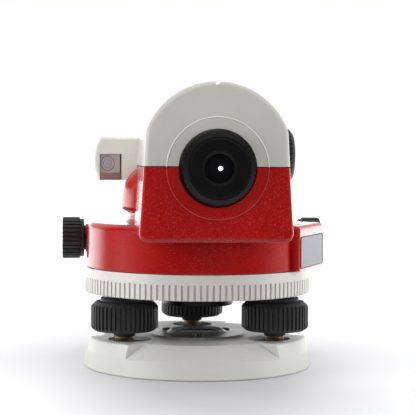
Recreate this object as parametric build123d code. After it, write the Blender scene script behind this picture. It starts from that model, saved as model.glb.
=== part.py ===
from build123d import *
import os
from math import cos, pi, sin, sqrt

# Automatic level on its footscrew base, in millimetres.
# The origin is where the tripod thread meets the underside, +Z is up.
# The eyepiece looks toward -Y, the objective toward +Y, and the circular level is on -X.

# Base plate and its round sockets for the footscrews
BASE_RADIUS = 59.5
BASE_STEP_RADIUS = 58.6
BASE_STEP_Z = 9.0
BASE_TOP_RADIUS = 48.5
BASE_TOP_Z = 16.0
EAR_TOP_RADIUS = 57.0
EAR_TOP_Z = 16.0
EAR_WIDTH = 38.4
EAR_START = 26.0
THREAD_RADIUS = 7.94
THREAD_LENGTH = 11.0
CENTRE_OPENING = 11.5
SOCKET_RADIUS = 11.0
SOCKET_CENTRE = 41.2
SOCKET_FLOOR = 5.0
SOCKET_LEDGE = 12.7

# Footscrews: three on one circle, turned a little against the telescope
SCREW_CIRCLE = 44.5
TRIBRACH_TURN = -2.5
SCREW_ANGLES = {"left": 210.0, "right": 330.0, "front": 90.0}
BALL_RADIUS = 5.5
BALL_Z = 10.2
STEM_RADIUS = 4.75
SPINDLE_RADIUS = 4.0
SPINDLE_TOP = 44.0
KNOB_RADIUS = 17.1
KNOB_BOTTOM = 20.7
COLLAR_BOTTOM = 18.0
COLLAR_RADIUS = 5.9
KNOB_SHOULDER = 35.6
KNOB_RIM_RADIUS = 12.2
KNOB_RIM_TOP = 37.5
KNOB_CUP_RADIUS = 11.1
KNOB_CUP_FLOOR = 29.5
KNOB_RIBS = 44
RUNNING_GAP = 0.04

# Tribrach: hub, three arms and the tower that carries the head
HUB_RADIUS = 18.75
HUB_BOTTOM = 31.7
ARM_BOTTOM = 41.2
ARM_TOP = 46.5
BOSS_RADIUS = 10.7
BOSS_BOTTOM = 33.5
SEAT_TOP = 47.2
TOWER_RADIUS = 17.0
TOWER_STEP = 53.0
WHEEL_SEAT_Z = 62.0
WHEEL_BORE = 12.0
WHEEL_TOP = 67.8
TOWER_TOP = 69.6
SOCKET_BUSH_RADIUS = 9.0
AXIS_RADIUS = 7.0

# Horizontal circle: the knurled ring under the red drum
RING_RADIUS = 59.1
RING_BOTTOM = 39.1
RING_BAND_TOP = 47.2
RING_TOP = 51.7
RING_TOP_RADIUS = 58.3
RING_INNER = 57.0
RING_GROOVES = 120
RING_WEB_BOTTOM = 48.3
RING_WEB_TOP = 51.0

# Horizontal drive: an endless worm on the housing and a friction wheel on the tower
DRIVE_Y = 30.0
DRIVE_Z = 65.0
WHEEL_TEETH = 60
WORM_PITCH_RADIUS = 4.5
WHEEL_PITCH_RADIUS = DRIVE_Y - WORM_PITCH_RADIUS
WORM_PITCH = 2.0 * pi * WHEEL_PITCH_RADIUS / WHEEL_TEETH
ADDENDUM = 0.6
DEDENDUM = 0.85
TOOTH_ROOT_HALF = 0.68
TOOTH_TIP_HALF = 0.32
WORM_TURNS = 7
DRIVE_SHAFT_RADIUS = 3.0
DRIVE_KNOB_RADIUS = 11.2
DRIVE_KNOB_INNER = 59.0
DRIVE_KNOB_OUTER = 70.7
DRIVE_KNOB_RIBS = 30

# Red housing: drum, dome, label lobe and the lower half of the telescope body
WALL = 3.2
DRUM_RADIUS = 58.4
DRUM_BOTTOM = 52.0
DRUM_TOP = 75.2
DRUM_ROOF = 2.8
FLANGE_BOTTOM = 70.6
NECK_RADIUS = 37.0
NECK_FILLET = 2.4
DOME_RADIUS = 41.0
DOME_UNDER_Z = 81.1
DOME_WIDEST_Z = 84.0
DOME_RISE = 20.5
DOME_CROWN_RADIUS = 27.5
BODY_REAR = -84.0
BODY_FRONT = 78.0
FRONT_NARROWING = 3.8
NOSE_START = -18.0
NOSE_START_RADIUS = 60.0
NOSE_MIDDLE = 32.0
NOSE_MIDDLE_RADIUS = 46.0
BODY_BOTTOM = 69.2
BODY_BOTTOM_HALF = 36.6
SEAM_Z = 104.5
SEAM_HALF = 34.4
SEAL_HEIGHT = 0.4
COVER_SHOULDER_HALF = 33.4
COVER_SHOULDER_Z = 121.4
COVER_TOP = 144.2
CAVITY_FLOOR = 80.5
AXIS_Z = 103.8
COVER_SCREW_X = 28.5
COVER_SCREW_Y = -71.0
LOBE_REAR = (47.2, -40.2)
LOBE_FRONT = (68.3, 4.2)
LOBE_TOP = 74.8
LABEL_LENGTH = 46.5
LABEL_HEIGHT = 16.4
LABEL_MIDDLE_Z = 61.1
LABEL_THICKNESS = 0.6

# Telescope optics, all on the line of sight
BARREL_RADIUS = 28.0
BARREL_BORE = 25.0
BARREL_FRONT = 96.0
OBJECTIVE_FRONT = 100.0
OBJECTIVE_RADIUS = 21.3
EYE_FRONT = -91.5
EYE_RING_RADIUS = 17.2
EYE_RING_INNER_END = -82.0
EYE_FACE_RADIUS = 14.7
EYE_RING_RIBS = 48
EYE_RECESS_RADIUS = 18.4
EYE_RECESS_DEPTH = 6.5
EYE_HALO_RADIUS = 24.1
EYE_HALO_HEIGHT = 0.7
SLEEVE_RADIUS = 13.0
SLEEVE_BORE = 10.5
EYE_BARREL_RADIUS = 10.45
EYE_LENS_RADIUS = 8.2
RETICLE_Y = -64.0

# Focusing knob, pinion, rack and sliding cell
FOCUS_Y = 4.0
FOCUS_Z = 110.0
FOCUS_KNOB_RADIUS = 14.8
FOCUS_KNOB_INNER = 38.6
FOCUS_KNOB_OUTER = 50.4
FOCUS_KNOB_RIBS = 36
FOCUS_SHAFT_RADIUS = 2.0
PINION_TEETH = 10
PINION_MODULE = 0.6
PINION_PITCH_RADIUS = PINION_TEETH * PINION_MODULE / 2.0
RACK_PITCH = pi * PINION_MODULE
RACK_ADDENDUM = 0.5
RACK_DEDENDUM = 0.7
RACK_X = (13.6, 17.6)
GUIDE_RADIUS = 13.0
GUIDE_BORE = 11.1
CELL_RADIUS = 11.05

# Compensator: a frame with a hanging prism between two fixed ones
SWING_Y = -38.0
SWING_Z = 128.0

# Circular level on its bracket at the left
LEVEL_LEFT = -55.0
LEVEL_RIGHT = -31.0
LEVEL_POST_LEFT = -40.5
LEVEL_BOTTOM = 96.9
LEVEL_SHELF = 100.5
LEVEL_WINDOW_TOP = 110.4
LEVEL_TOP = 119.3
LEVEL_REAR = -3.0
LEVEL_FRONT = 17.0
LEVEL_WINDOW_LEFT = -51.8
VIAL_CENTRE = (-47.4, 2.2)
VIAL_RADIUS = 4.0
LEVEL_SCREW_PLACES = ((-50.0, 9.8), (-42.8, 9.8), (-46.4, 13.2))

ALONG_X = Plane(origin=(0, 0, 0), x_dir=(0, 1, 0), z_dir=(1, 0, 0)).location
ALONG_Y = Plane(origin=(0, 0, 0), x_dir=(1, 0, 0), z_dir=(0, 1, 0)).location
BOTTOM_UP = (Align.CENTER, Align.CENTER, Align.MIN)


def face_of(outline, radii=None):
    """Flat face inside a closed outline, with each corner rounded by its own radius."""
    if radii:
        return make_face(FilletPolyline(*outline, radius=radii, close=True).edges())
    return make_face(Polyline(*outline, close=True).edges())


def lathe(outline, radii=None):
    """Solid turned about Z from an outline of (radius, height) points."""
    return revolve(Plane.XZ * face_of(outline, radii), axis=Axis.Z)


def rod(radius, low, high):
    """Round bar about Z between two heights."""
    return Pos(0, 0, low) * Cylinder(radius, high - low, align=BOTTOM_UP)


def tube(outer, inner, low, high):
    """Round tube about Z between two heights."""
    return rod(outer, low, high) - rod(inner, low - 1, high + 1)


def block(x_range, y_range, z_range):
    """Rectangular block between three pairs of coordinates."""
    size = [high - low for low, high in (x_range, y_range, z_range)]
    middle = [(low + high) / 2 for low, high in (x_range, y_range, z_range)]
    return Pos(*middle) * Box(*size)


def along_x(shape, y, z):
    """Lay a shape that stands on Z along the X direction."""
    return Pos(0, y, z) * ALONG_X * shape


def along_y(shape, x=0.0, z=AXIS_Z):
    """Lay a shape that stands on Z along the Y direction, on the line of sight."""
    return Pos(x, 0, z) * ALONG_Y * shape


def ribbed_face(tip, root, ribs, tip_share=0.44, root_share=0.28):
    """Star-like face whose ribs and grooves make a knurled grip."""
    corners = (
        (-tip_share / 2, tip),
        (tip_share / 2, tip),
        (0.5 - root_share / 2, root),
        (0.5 + root_share / 2, root),
    )
    outline = []
    for rib in range(ribs):
        for share, radius in corners:
            angle = 2 * pi * (rib + share) / ribs
            outline.append((radius * cos(angle), radius * sin(angle)))
    return face_of(outline)


def knurled(turned, tip, root, ribs, low, high):
    """Turned solid whose outer wall between two heights is cut into ribs."""
    return turned & extrude(Pos(0, 0, low) * ribbed_face(tip + 1, root, ribs), high - low)


def at_screw(name, shape, radius=SCREW_CIRCLE):
    """Move a shape from the Z axis to a footscrew's place."""
    return Rot(0, 0, SCREW_ANGLES[name] + TRIBRACH_TURN) * Pos(radius, 0, 0) * shape


def around_screws(shape, radius=SCREW_CIRCLE):
    """Three copies of a shape, one at each footscrew."""
    return [at_screw(name, shape, radius) for name in SCREW_ANGLES]


def group(shapes):
    """Separate solids that share one node."""
    return Compound(children=[solid for shape in shapes for solid in shape.solids()])


def pan_screw(head_radius, head_height, shank_radius, length):
    """Slotted pan-head screw whose head stands on z = 0 and whose shank goes down."""
    head = lathe(
        [(0, 0), (head_radius, 0), (head_radius, head_height), (0, head_height)],
        [0, 0, head_height * 0.6, 0],
    )
    slot = Pos(0, 0, head_height) * Box(3 * head_radius, head_radius * 0.32, head_height)
    return head - slot + rod(shank_radius, -length, 0.1)


def base_plate():
    """Round foot with three raised ears, footscrew sockets and the tripod thread."""
    foot = lathe([
        (0, 0), (BASE_RADIUS - 0.8, 0), (BASE_RADIUS, 0.8), (BASE_STEP_RADIUS, BASE_STEP_Z),
        (BASE_TOP_RADIUS, BASE_TOP_Z), (0, BASE_TOP_Z),
    ])
    drum = lathe(
        [
            (EAR_START, BASE_STEP_Z - 4), (BASE_STEP_RADIUS, BASE_STEP_Z - 4),
            (BASE_STEP_RADIUS, BASE_STEP_Z), (EAR_TOP_RADIUS, EAR_TOP_Z), (EAR_START, EAR_TOP_Z),
        ],
        [0, 0, 0, 1.4, 0],
    )
    slab = Box(BASE_RADIUS, EAR_WIDTH, 2 * EAR_TOP_Z, align=(Align.MIN, Align.CENTER, Align.CENTER))
    for ear in around_screws(slab, EAR_START - 6):
        foot += drum & ear
    for socket in around_screws(rod(SOCKET_RADIUS, SOCKET_LEDGE, 30), SOCKET_CENTRE):
        foot -= socket
    for socket in around_screws(rod(SOCKET_RADIUS - 1.4, SOCKET_FLOOR, 30), SOCKET_CENTRE):
        foot -= socket
    seat = rod(7.5, SOCKET_FLOOR - 1, 8.4) - Pos(0, 0, BALL_Z) * Sphere(BALL_RADIUS + 0.08)
    for cup in around_screws(seat):
        foot += cup
    for hollow in around_screws(Pos(0, 0, BALL_Z) * Sphere(BALL_RADIUS + 0.08)):
        foot -= hollow
    foot -= tube(50.0, 24.0, -1, 1.4)
    foot -= rod(CENTRE_OPENING + 1.5, THREAD_LENGTH, 20)
    foot -= rod(THREAD_RADIUS, -1, THREAD_LENGTH + 1)
    for place in spring_screw_places():
        foot -= place * rod(1.25, 10.5, 20)
    return foot


def spring_screw_places():
    """Places of the three screws between the footscrews."""
    return [Rot(0, 0, TRIBRACH_TURN + angle) * Pos(18.6, 0, 0) for angle in (30, 150, 270)]


def spring_plate():
    """Pressed steel plate over the middle of the foot, dished round its opening."""
    plate = lathe(
        [
            (25.0, BASE_TOP_Z), (25.0, BASE_TOP_Z + 0.9), (16.2, BASE_TOP_Z + 1.0),
            (13.6, BASE_TOP_Z + 2.3), (CENTRE_OPENING, BASE_TOP_Z + 2.0),
            (CENTRE_OPENING, BASE_TOP_Z + 1.1), (13.4, BASE_TOP_Z + 1.4), (16.0, BASE_TOP_Z),
        ],
        [0, 0.4, 1.2, 0.5, 0, 0, 0.5, 0.5],
    )
    for place in spring_screw_places():
        plate -= place * rod(1.6, 10, 20)
    return plate


def spring_plate_screws():
    """Three pan-head screws that hold the spring plate down."""
    screw = Pos(0, 0, BASE_TOP_Z + 1.0) * pan_screw(2.1, 1.0, 1.22, 6.0)
    return group([place * screw for place in spring_screw_places()])


def ball_retainers():
    """Three washers that keep the footscrew balls in their sockets."""
    washer = rod(SOCKET_RADIUS - 0.05, SOCKET_LEDGE, SOCKET_LEDGE + 1.3)
    bore = Pos(SCREW_CIRCLE - SOCKET_CENTRE, 0, 0) * rod(STEM_RADIUS + 0.55, 0, 30)
    return group(around_screws(washer - bore, SOCKET_CENTRE))


def footscrew_spindle():
    """Brass spindle with its ball foot and the threaded upper length."""
    stem = lathe(
        [
            (0, BALL_Z), (STEM_RADIUS, BALL_Z), (STEM_RADIUS, 16.6), (STEM_RADIUS - 0.5, 17.0),
            (STEM_RADIUS - 0.5, 17.5), (STEM_RADIUS, 17.9), (STEM_RADIUS, KNOB_BOTTOM + 1),
            (SPINDLE_RADIUS, KNOB_BOTTOM + 1), (SPINDLE_RADIUS, SPINDLE_TOP - 0.6),
            (SPINDLE_RADIUS - 0.6, SPINDLE_TOP), (0, SPINDLE_TOP),
        ],
    )
    return stem + Pos(0, 0, BALL_Z) * Sphere(BALL_RADIUS)


def footscrew_knob():
    """Black ribbed knob with a lower collar and a cup that covers the arm's boss."""
    turned = lathe(
        [
            (STEM_RADIUS, COLLAR_BOTTOM), (COLLAR_RADIUS - 0.5, COLLAR_BOTTOM), (COLLAR_RADIUS, KNOB_BOTTOM),
            (14.8, KNOB_BOTTOM),
            (KNOB_RADIUS, KNOB_BOTTOM + 1.6), (KNOB_RADIUS, KNOB_SHOULDER - 2.2),
            (KNOB_RADIUS - 2.4, KNOB_SHOULDER), (KNOB_RIM_RADIUS, KNOB_SHOULDER + 0.2),
            (KNOB_RIM_RADIUS, KNOB_RIM_TOP), (KNOB_CUP_RADIUS, KNOB_RIM_TOP),
            (KNOB_CUP_RADIUS, KNOB_CUP_FLOOR), (SPINDLE_RADIUS, KNOB_CUP_FLOOR),
            (SPINDLE_RADIUS, KNOB_BOTTOM + 1), (STEM_RADIUS, KNOB_BOTTOM + 1),
        ],
        [0, 0, 0, 0, 1.6, 2.0, 0.8, 0, 0.3, 0, 0, 0, 0, 0],
    )
    return knurled(turned, KNOB_RADIUS, KNOB_RADIUS - 0.9, KNOB_RIBS, COLLAR_BOTTOM - 1, 38)


def tribrach_body():
    """Black casting with a hub, three tapered arms, screw bosses and the tower."""
    body = lathe(
        [
            (0, HUB_BOTTOM), (HUB_RADIUS, HUB_BOTTOM), (HUB_RADIUS, 38.4), (24.0, ARM_BOTTOM),
            (24.0, SEAT_TOP), (TOWER_RADIUS, SEAT_TOP), (TOWER_RADIUS, TOWER_STEP),
            (14.0, TOWER_STEP), (14.0, WHEEL_SEAT_Z), (WHEEL_BORE, WHEEL_SEAT_Z),
            (WHEEL_BORE, TOWER_TOP), (0, TOWER_TOP),
        ],
        [0, 1.2, 2.0, 0, 0, 0, 0, 0, 0, 0, 0, 0],
    )
    arm = extrude(
        Pos(0, 0, ARM_BOTTOM) * face_of([(10, -16), (SCREW_CIRCLE, -11), (SCREW_CIRCLE, 11), (10, 16)]),
        ARM_TOP - ARM_BOTTOM,
    )
    end = Pos(SCREW_CIRCLE, 0, 0) * rod(11.2, ARM_BOTTOM, ARM_TOP)
    boss = Pos(SCREW_CIRCLE, 0, 0) * rod(BOSS_RADIUS, BOSS_BOTTOM, ARM_BOTTOM + 0.5)
    for limb in around_screws(arm + end + boss, 0):
        body += limb
    for bore in around_screws(rod(6.2, 30, 50)):
        body -= bore
    return body - rod(SOCKET_BUSH_RADIUS, 34.0, 80)


def footscrew_bushes():
    """Three flanged brass bushes, threaded for the footscrew spindles."""
    bush = rod(6.2, BOSS_BOTTOM, ARM_TOP) + rod(8.0, ARM_TOP, ARM_TOP + 0.8)
    return group(around_screws(bush - rod(SPINDLE_RADIUS + RUNNING_GAP, 30, 50)))


def axis_bush():
    """Bronze bush in the tower, in which the head's spindle turns."""
    return tube(SOCKET_BUSH_RADIUS, AXIS_RADIUS + RUNNING_GAP, 34.0, TOWER_TOP)


def circle_friction_washer():
    """Spring washer under the horizontal circle that keeps it where it is set."""
    return tube(23.0, TOWER_RADIUS + 0.05, SEAT_TOP, RING_WEB_BOTTOM - 0.1)


def circle_retaining_ring():
    """Ring on the tower that keeps the horizontal circle down."""
    return tube(20.5, TOWER_RADIUS, RING_WEB_TOP + 0.1, RING_WEB_TOP + 1.1)


def horizontal_circle():
    """Hollow light ring with a knurled band, a plain bevel and an inner web."""
    shell = lathe([
        (RING_INNER, RING_BOTTOM), (RING_RADIUS - 0.5, RING_BOTTOM), (RING_RADIUS, RING_BOTTOM + 0.5),
        (RING_RADIUS, RING_BAND_TOP), (RING_RADIUS - 0.2, RING_BAND_TOP + 0.4),
        (RING_TOP_RADIUS, RING_TOP), (RING_TOP_RADIUS - 1.6, RING_TOP), (56.0, RING_WEB_TOP),
        (TOWER_RADIUS + RUNNING_GAP, RING_WEB_TOP), (TOWER_RADIUS + RUNNING_GAP, RING_WEB_BOTTOM),
        (55.8, RING_WEB_BOTTOM), (RING_INNER, RING_WEB_BOTTOM - 1.2),
    ])
    band = Pos(0, 0, RING_BOTTOM - 1) * ribbed_face(RING_RADIUS + 2, RING_RADIUS - 0.85, RING_GROOVES)
    grooves = tube(RING_RADIUS + 1, RING_RADIUS - 2, RING_BOTTOM - 1, RING_BAND_TOP - 0.4)
    return shell - (grooves - extrude(band, RING_BAND_TOP - RING_BOTTOM + 2))


def tooth_corners(root, tip):
    """Half widths and radii of one wheel tooth, from side to side."""
    return (
        (-TOOTH_ROOT_HALF, root), (-TOOTH_TIP_HALF, tip), (TOOTH_TIP_HALF, tip), (TOOTH_ROOT_HALF, root),
    )


def worm_wheel():
    """Bronze worm wheel that grips the tower by friction."""
    tip = WHEEL_PITCH_RADIUS + ADDENDUM
    root = WHEEL_PITCH_RADIUS - DEDENDUM
    outline = []
    for tooth in range(WHEEL_TEETH):
        middle = (tooth + 0.5) / WHEEL_TEETH
        for half_width, radius in tooth_corners(root, tip):
            angle = 2 * pi * middle + half_width / radius + pi / 2
            outline.append((radius * cos(angle), radius * sin(angle)))
    rim = extrude(Pos(0, 0, DRIVE_Z - 1.6) * face_of(outline), 3.2)
    hub = lathe([
        (0, WHEEL_SEAT_Z + 0.1), (15.5, WHEEL_SEAT_Z + 0.1), (17.6, DRIVE_Z - 1.6),
        (17.6, DRIVE_Z + 1.6), (16.0, WHEEL_TOP), (0, WHEEL_TOP),
    ])
    return rim + hub - rod(WHEEL_BORE + RUNNING_GAP, 60, 72)


def clutch_washer():
    """Dished washer that presses the worm wheel onto its seat."""
    return tube(14.6, WHEEL_BORE + 0.05, WHEEL_TOP + 0.1, WHEEL_TOP + 0.7)


def clutch_nut():
    """Slotted ring nut on the top of the tower."""
    nut = tube(13.2, WHEEL_BORE, WHEEL_TOP + 0.8, WHEEL_TOP + 2.0)
    for angle in (0, 90, 180, 270):
        nut -= Rot(0, 0, angle) * block((12.4, 14), (-1, 1), (WHEEL_TOP, WHEEL_TOP + 3))
    return nut


def drive_worm():
    """Cross shaft with the worm thread cut in its middle."""
    shaft = rod(DRIVE_SHAFT_RADIUS, -DRIVE_KNOB_OUTER + 2.5, DRIVE_KNOB_OUTER - 2.5)
    root = WORM_PITCH_RADIUS - DEDENDUM
    length = WORM_TURNS * WORM_PITCH
    core = rod(root + 0.02, -length / 2 - 1.6, length / 2 + 1.6)
    path = Helix(pitch=WORM_PITCH, height=length, radius=root, center=(0, 0, -length / 2))
    depth = ADDENDUM + DEDENDUM
    section = Plane(origin=path @ 0, x_dir=(1, 0, 0), z_dir=path % 0) * face_of([
        (-0.2, -TOOTH_ROOT_HALF - 0.05), (0, -TOOTH_ROOT_HALF), (depth, -TOOTH_TIP_HALF),
        (depth, TOOTH_TIP_HALF), (0, TOOTH_ROOT_HALF), (-0.2, TOOTH_ROOT_HALF + 0.05),
    ])
    thread = sweep(section, path=path, is_frenet=True)
    return along_x(shaft + core + thread, DRIVE_Y, DRIVE_Z)


def drive_knob(side):
    """Ribbed black knob on one end of the cross shaft; side is -1 or 1."""
    reach = DRIVE_KNOB_OUTER - DRIVE_KNOB_INNER
    turned = lathe(
        [
            (0, 2.2), (DRIVE_SHAFT_RADIUS, 2.2), (DRIVE_SHAFT_RADIUS, 0), (DRIVE_KNOB_RADIUS - 0.9, 0),
            (DRIVE_KNOB_RADIUS - 0.9, 2.0), (DRIVE_KNOB_RADIUS, 2.4), (DRIVE_KNOB_RADIUS, reach),
            (8.6, reach), (8.2, reach - 0.7), (0, reach - 0.7),
        ],
        [0, 0, 0, 0.6, 0, 0, 0.9, 0, 0, 0],
    )
    turned -= rod(DRIVE_SHAFT_RADIUS, -1, reach - 2.5)
    knob = knurled(turned, DRIVE_KNOB_RADIUS, DRIVE_KNOB_RADIUS - 0.85, DRIVE_KNOB_RIBS, -1, reach + 1)
    knob = along_x(Pos(0, 0, DRIVE_KNOB_INNER) * knob, DRIVE_Y, DRIVE_Z)
    return knob if side > 0 else Pos(0, 2 * DRIVE_Y, 0) * Rot(0, 0, 180) * knob


def drive_bushes():
    """Two flanged bushes in which the cross shaft turns."""
    bush = rod(5.0, 46.0, 58.2) + rod(6.6, 58.2, 58.8)
    bush -= rod(DRIVE_SHAFT_RADIUS + RUNNING_GAP, 40, 60)
    right = along_x(bush, DRIVE_Y, DRIVE_Z)
    return group([right, Pos(0, 2 * DRIVE_Y, 0) * Rot(0, 0, 180) * right])


def body_section(y):
    """Cross-section of the telescope body at one place along it, narrower toward the objective."""
    narrowing = FRONT_NARROWING * (y - BODY_REAR) / (BODY_FRONT - BODY_REAR)
    foot = BODY_BOTTOM_HALF - narrowing
    seam = SEAM_HALF - narrowing
    shoulder = COVER_SHOULDER_HALF - narrowing
    edges = [
        Line((-foot, BODY_BOTTOM), (foot, BODY_BOTTOM)),
        Line((foot, BODY_BOTTOM), (seam, SEAM_Z)),
        Line((seam, SEAM_Z), (shoulder, COVER_SHOULDER_Z)),
        ThreePointArc((shoulder, COVER_SHOULDER_Z), (0, COVER_TOP), (-shoulder, COVER_SHOULDER_Z)),
        Line((-shoulder, COVER_SHOULDER_Z), (-seam, SEAM_Z)),
        Line((-seam, SEAM_Z), (-foot, BODY_BOTTOM)),
    ]
    section = make_face(edges)
    shoulders = [v for v in section.vertices() if abs(v.Y - COVER_SHOULDER_Z) < 0.1]
    section = fillet(shoulders, 11.0)
    feet = [v for v in section.vertices() if abs(v.Y - BODY_BOTTOM) < 0.1]
    return fillet(feet, 4.0)


def body_form(inset=0.0):
    """Telescope body: a narrowing form trimmed to a rounded nose, pushed inward by a wall."""
    sections = []
    for y in (BODY_REAR + inset, BODY_FRONT + inset):
        section = body_section(y)
        if inset:
            section = offset(section, amount=-inset, kind=Kind.INTERSECTION)
        sections.append(Pos(0, y, 0) * (Plane.XZ * section))
    long_form = loft(sections, ruled=True)
    nose_edges = [
        Line((0, BODY_REAR), (NOSE_START_RADIUS - inset, BODY_REAR)),
        Line((NOSE_START_RADIUS - inset, BODY_REAR), (NOSE_START_RADIUS - inset, NOSE_START)),
        ThreePointArc(
            (NOSE_START_RADIUS - inset, NOSE_START), (NOSE_MIDDLE_RADIUS - inset, NOSE_MIDDLE),
            (BARREL_RADIUS - 0.1 - inset, BODY_FRONT),
        ),
        Line((BARREL_RADIUS - 0.1 - inset, BODY_FRONT), (0, BODY_FRONT)),
        Line((0, BODY_FRONT), (0, BODY_REAR)),
    ]
    nose = revolve(Plane.XZ * make_face(nose_edges), axis=Axis.Z)
    return long_form & along_y(nose)


def telescope_outside():
    """Outer form of the telescope with its rounded rear edge and its barrel."""
    outer = body_form()
    rim = outer.edges().filter_by_position(Axis.Y, BODY_REAR - 0.01, BODY_REAR + 0.01)
    outer = fillet(rim, 2.4)
    halo = lathe(
        [
            (0, BODY_REAR - EYE_HALO_HEIGHT), (EYE_HALO_RADIUS, BODY_REAR - EYE_HALO_HEIGHT),
            (EYE_HALO_RADIUS, BODY_REAR + 1), (0, BODY_REAR + 1),
        ],
        [0, 0.5, 0, 0],
    )
    return outer + along_y(halo) + along_y(rod(BARREL_RADIUS, BODY_FRONT - 30, BARREL_FRONT))


def telescope_hollow():
    """Space inside the telescope, with the eyepiece seat left standing in the rear wall."""
    hollow = body_form(WALL) & block((-60, 60), (-120, 120), (CAVITY_FLOOR, 200))
    hollow -= along_y(rod(22.0, BODY_REAR, BODY_REAR + EYE_RECESS_DEPTH + WALL))
    hollow += along_y(rod(BARREL_BORE, BODY_FRONT - 30, BARREL_FRONT + 1))
    hollow += along_y(rod(EYE_RECESS_RADIUS, BODY_REAR - 1, BODY_REAR + EYE_RECESS_DEPTH))
    return hollow + along_y(rod(SLEEVE_RADIUS + 0.02, BODY_REAR - 1, BODY_REAR + 12))


def dome():
    """Turned dome on the drum that the telescope body stands in."""
    edges = [
        Line((0, DRUM_TOP - 1), (NECK_RADIUS + NECK_FILLET, DRUM_TOP - 1)),
        Line((NECK_RADIUS + NECK_FILLET, DRUM_TOP - 1), (NECK_RADIUS + NECK_FILLET, DRUM_TOP)),
        ThreePointArc(
            (NECK_RADIUS + NECK_FILLET, DRUM_TOP),
            (NECK_RADIUS + 0.293 * NECK_FILLET, DRUM_TOP + 0.293 * NECK_FILLET),
            (NECK_RADIUS, DRUM_TOP + NECK_FILLET),
        ),
        Line((NECK_RADIUS, DRUM_TOP + NECK_FILLET), (NECK_RADIUS, DOME_UNDER_Z - 1.0)),
        Line((NECK_RADIUS, DOME_UNDER_Z - 1.0), (DOME_RADIUS - 2.4, DOME_UNDER_Z)),
        RadiusArc((DOME_RADIUS - 2.4, DOME_UNDER_Z), (DOME_RADIUS, DOME_WIDEST_Z), -2.9),
        EllipticalCenterArc(
            (DOME_CROWN_RADIUS, DOME_WIDEST_Z), DOME_RADIUS - DOME_CROWN_RADIUS, DOME_RISE,
            start_angle=0, arc_size=90,
        ),
        Line((DOME_CROWN_RADIUS, SEAM_Z), (0, SEAM_Z)),
        Line((0, SEAM_Z), (0, DRUM_TOP - 1)),
    ]
    return revolve(Plane.XZ * make_face(edges), axis=Axis.Z)


def label_lobe():
    """Flat-sided lobe on the right of the drum that carries the bare label plate."""
    outline = [
        (20, -20), (LOBE_REAR[0] - 1.2, LOBE_REAR[1] - 2.5), LOBE_FRONT, (60.5, 10.8), (20, 14),
    ]
    lobe = extrude(Pos(0, 0, DRUM_BOTTOM) * face_of(outline, [0, 3.0, 3.0, 4.0, 0]), LOBE_TOP - DRUM_BOTTOM)
    rim = lobe.edges().filter_by_position(Axis.Z, LOBE_TOP - 0.01, LOBE_TOP + 0.01)
    return fillet([edge for edge in rim if (edge @ 0.5).X > 40], 2.6)


def label_plane():
    """Plane on the lobe's flat side, x along the plate and z outward."""
    run = Vector(LOBE_FRONT[0] - LOBE_REAR[0], LOBE_FRONT[1] - LOBE_REAR[1], 0)
    middle = Vector(
        (LOBE_FRONT[0] + LOBE_REAR[0]) / 2, (LOBE_FRONT[1] + LOBE_REAR[1]) / 2, LABEL_MIDDLE_Z
    )
    outward = Vector(run.Y, -run.X, 0).normalized()
    return Plane(origin=middle, x_dir=run.normalized(), z_dir=outward)


def below_seam():
    """Half-space under the seam."""
    return block((-80, 80), (-120, 120), (0, SEAM_Z - SEAL_HEIGHT / 2))


def above_seam():
    """Half-space over the seam."""
    return block((-80, 80), (-120, 120), (SEAM_Z + SEAL_HEIGHT / 2, 200))


def main_housing():
    """Red casting: hollow drum, dome, label lobe and lower half of the telescope."""
    housing = lathe(
        [(0, DRUM_BOTTOM), (DRUM_RADIUS, DRUM_BOTTOM), (DRUM_RADIUS - 0.3, DRUM_TOP), (0, DRUM_TOP)],
        [0, 0.4, 3.6, 0],
    )
    housing += label_lobe()
    housing += dome()
    housing += telescope_outside() & below_seam()
    housing &= below_seam()
    housing -= rod(DRUM_RADIUS - WALL, DRUM_BOTTOM - 1, DRUM_TOP - DRUM_ROOF)
    housing += along_x(rod(7.6, 40.0, 58.2), DRIVE_Y, DRIVE_Z)
    housing += along_x(rod(7.6, -58.2, -40.0), DRIVE_Y, DRIVE_Z)
    housing -= along_x(rod(FOCUS_KNOB_RADIUS + 0.6, FOCUS_KNOB_INNER - 0.5, 60), FOCUS_Y, FOCUS_Z)
    housing -= telescope_hollow()
    for x in (-COVER_SCREW_X, COVER_SCREW_X):
        housing += Pos(x, COVER_SCREW_Y, 0) * rod(3.6, CAVITY_FLOOR - 1, SEAM_Z - SEAL_HEIGHT / 2)
        housing -= Pos(x, COVER_SCREW_Y, 0) * rod(3.2, 60, 76.0)
        housing -= Pos(x, COVER_SCREW_Y, 0) * rod(1.75, 70, 110)
    housing -= along_x(rod(5.0, -60, 60), DRIVE_Y, DRIVE_Z)
    housing -= label_plane() * Box(LABEL_LENGTH, LABEL_HEIGHT, 2 * LABEL_THICKNESS * 0.6)
    for screw in spindle_screw_places():
        housing -= screw * rod(1.25, FLANGE_BOTTOM, FLANGE_BOTTOM + 4.6)
    return housing


def top_cover():
    """Light grey shell over the compensator, with a sighting groove on its crown."""
    cover = (telescope_outside() & above_seam()) - telescope_hollow()
    cover += along_x(rod(6.0, 27.6, 38.0), FOCUS_Y, FOCUS_Z) & above_seam()
    for x in (-COVER_SCREW_X, COVER_SCREW_X):
        cover += Pos(x, COVER_SCREW_Y, 0) * rod(3.6, SEAM_Z + SEAL_HEIGHT / 2, 118.0)
        cover -= Pos(x, COVER_SCREW_Y, 0) * rod(1.5, 90, 114.0)
    cover -= block((-1.25, 1.25), (-90, 16), (COVER_TOP - 2.1, 160))
    return cover - along_x(rod(4.52, 25, 45), FOCUS_Y, FOCUS_Z)


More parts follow.
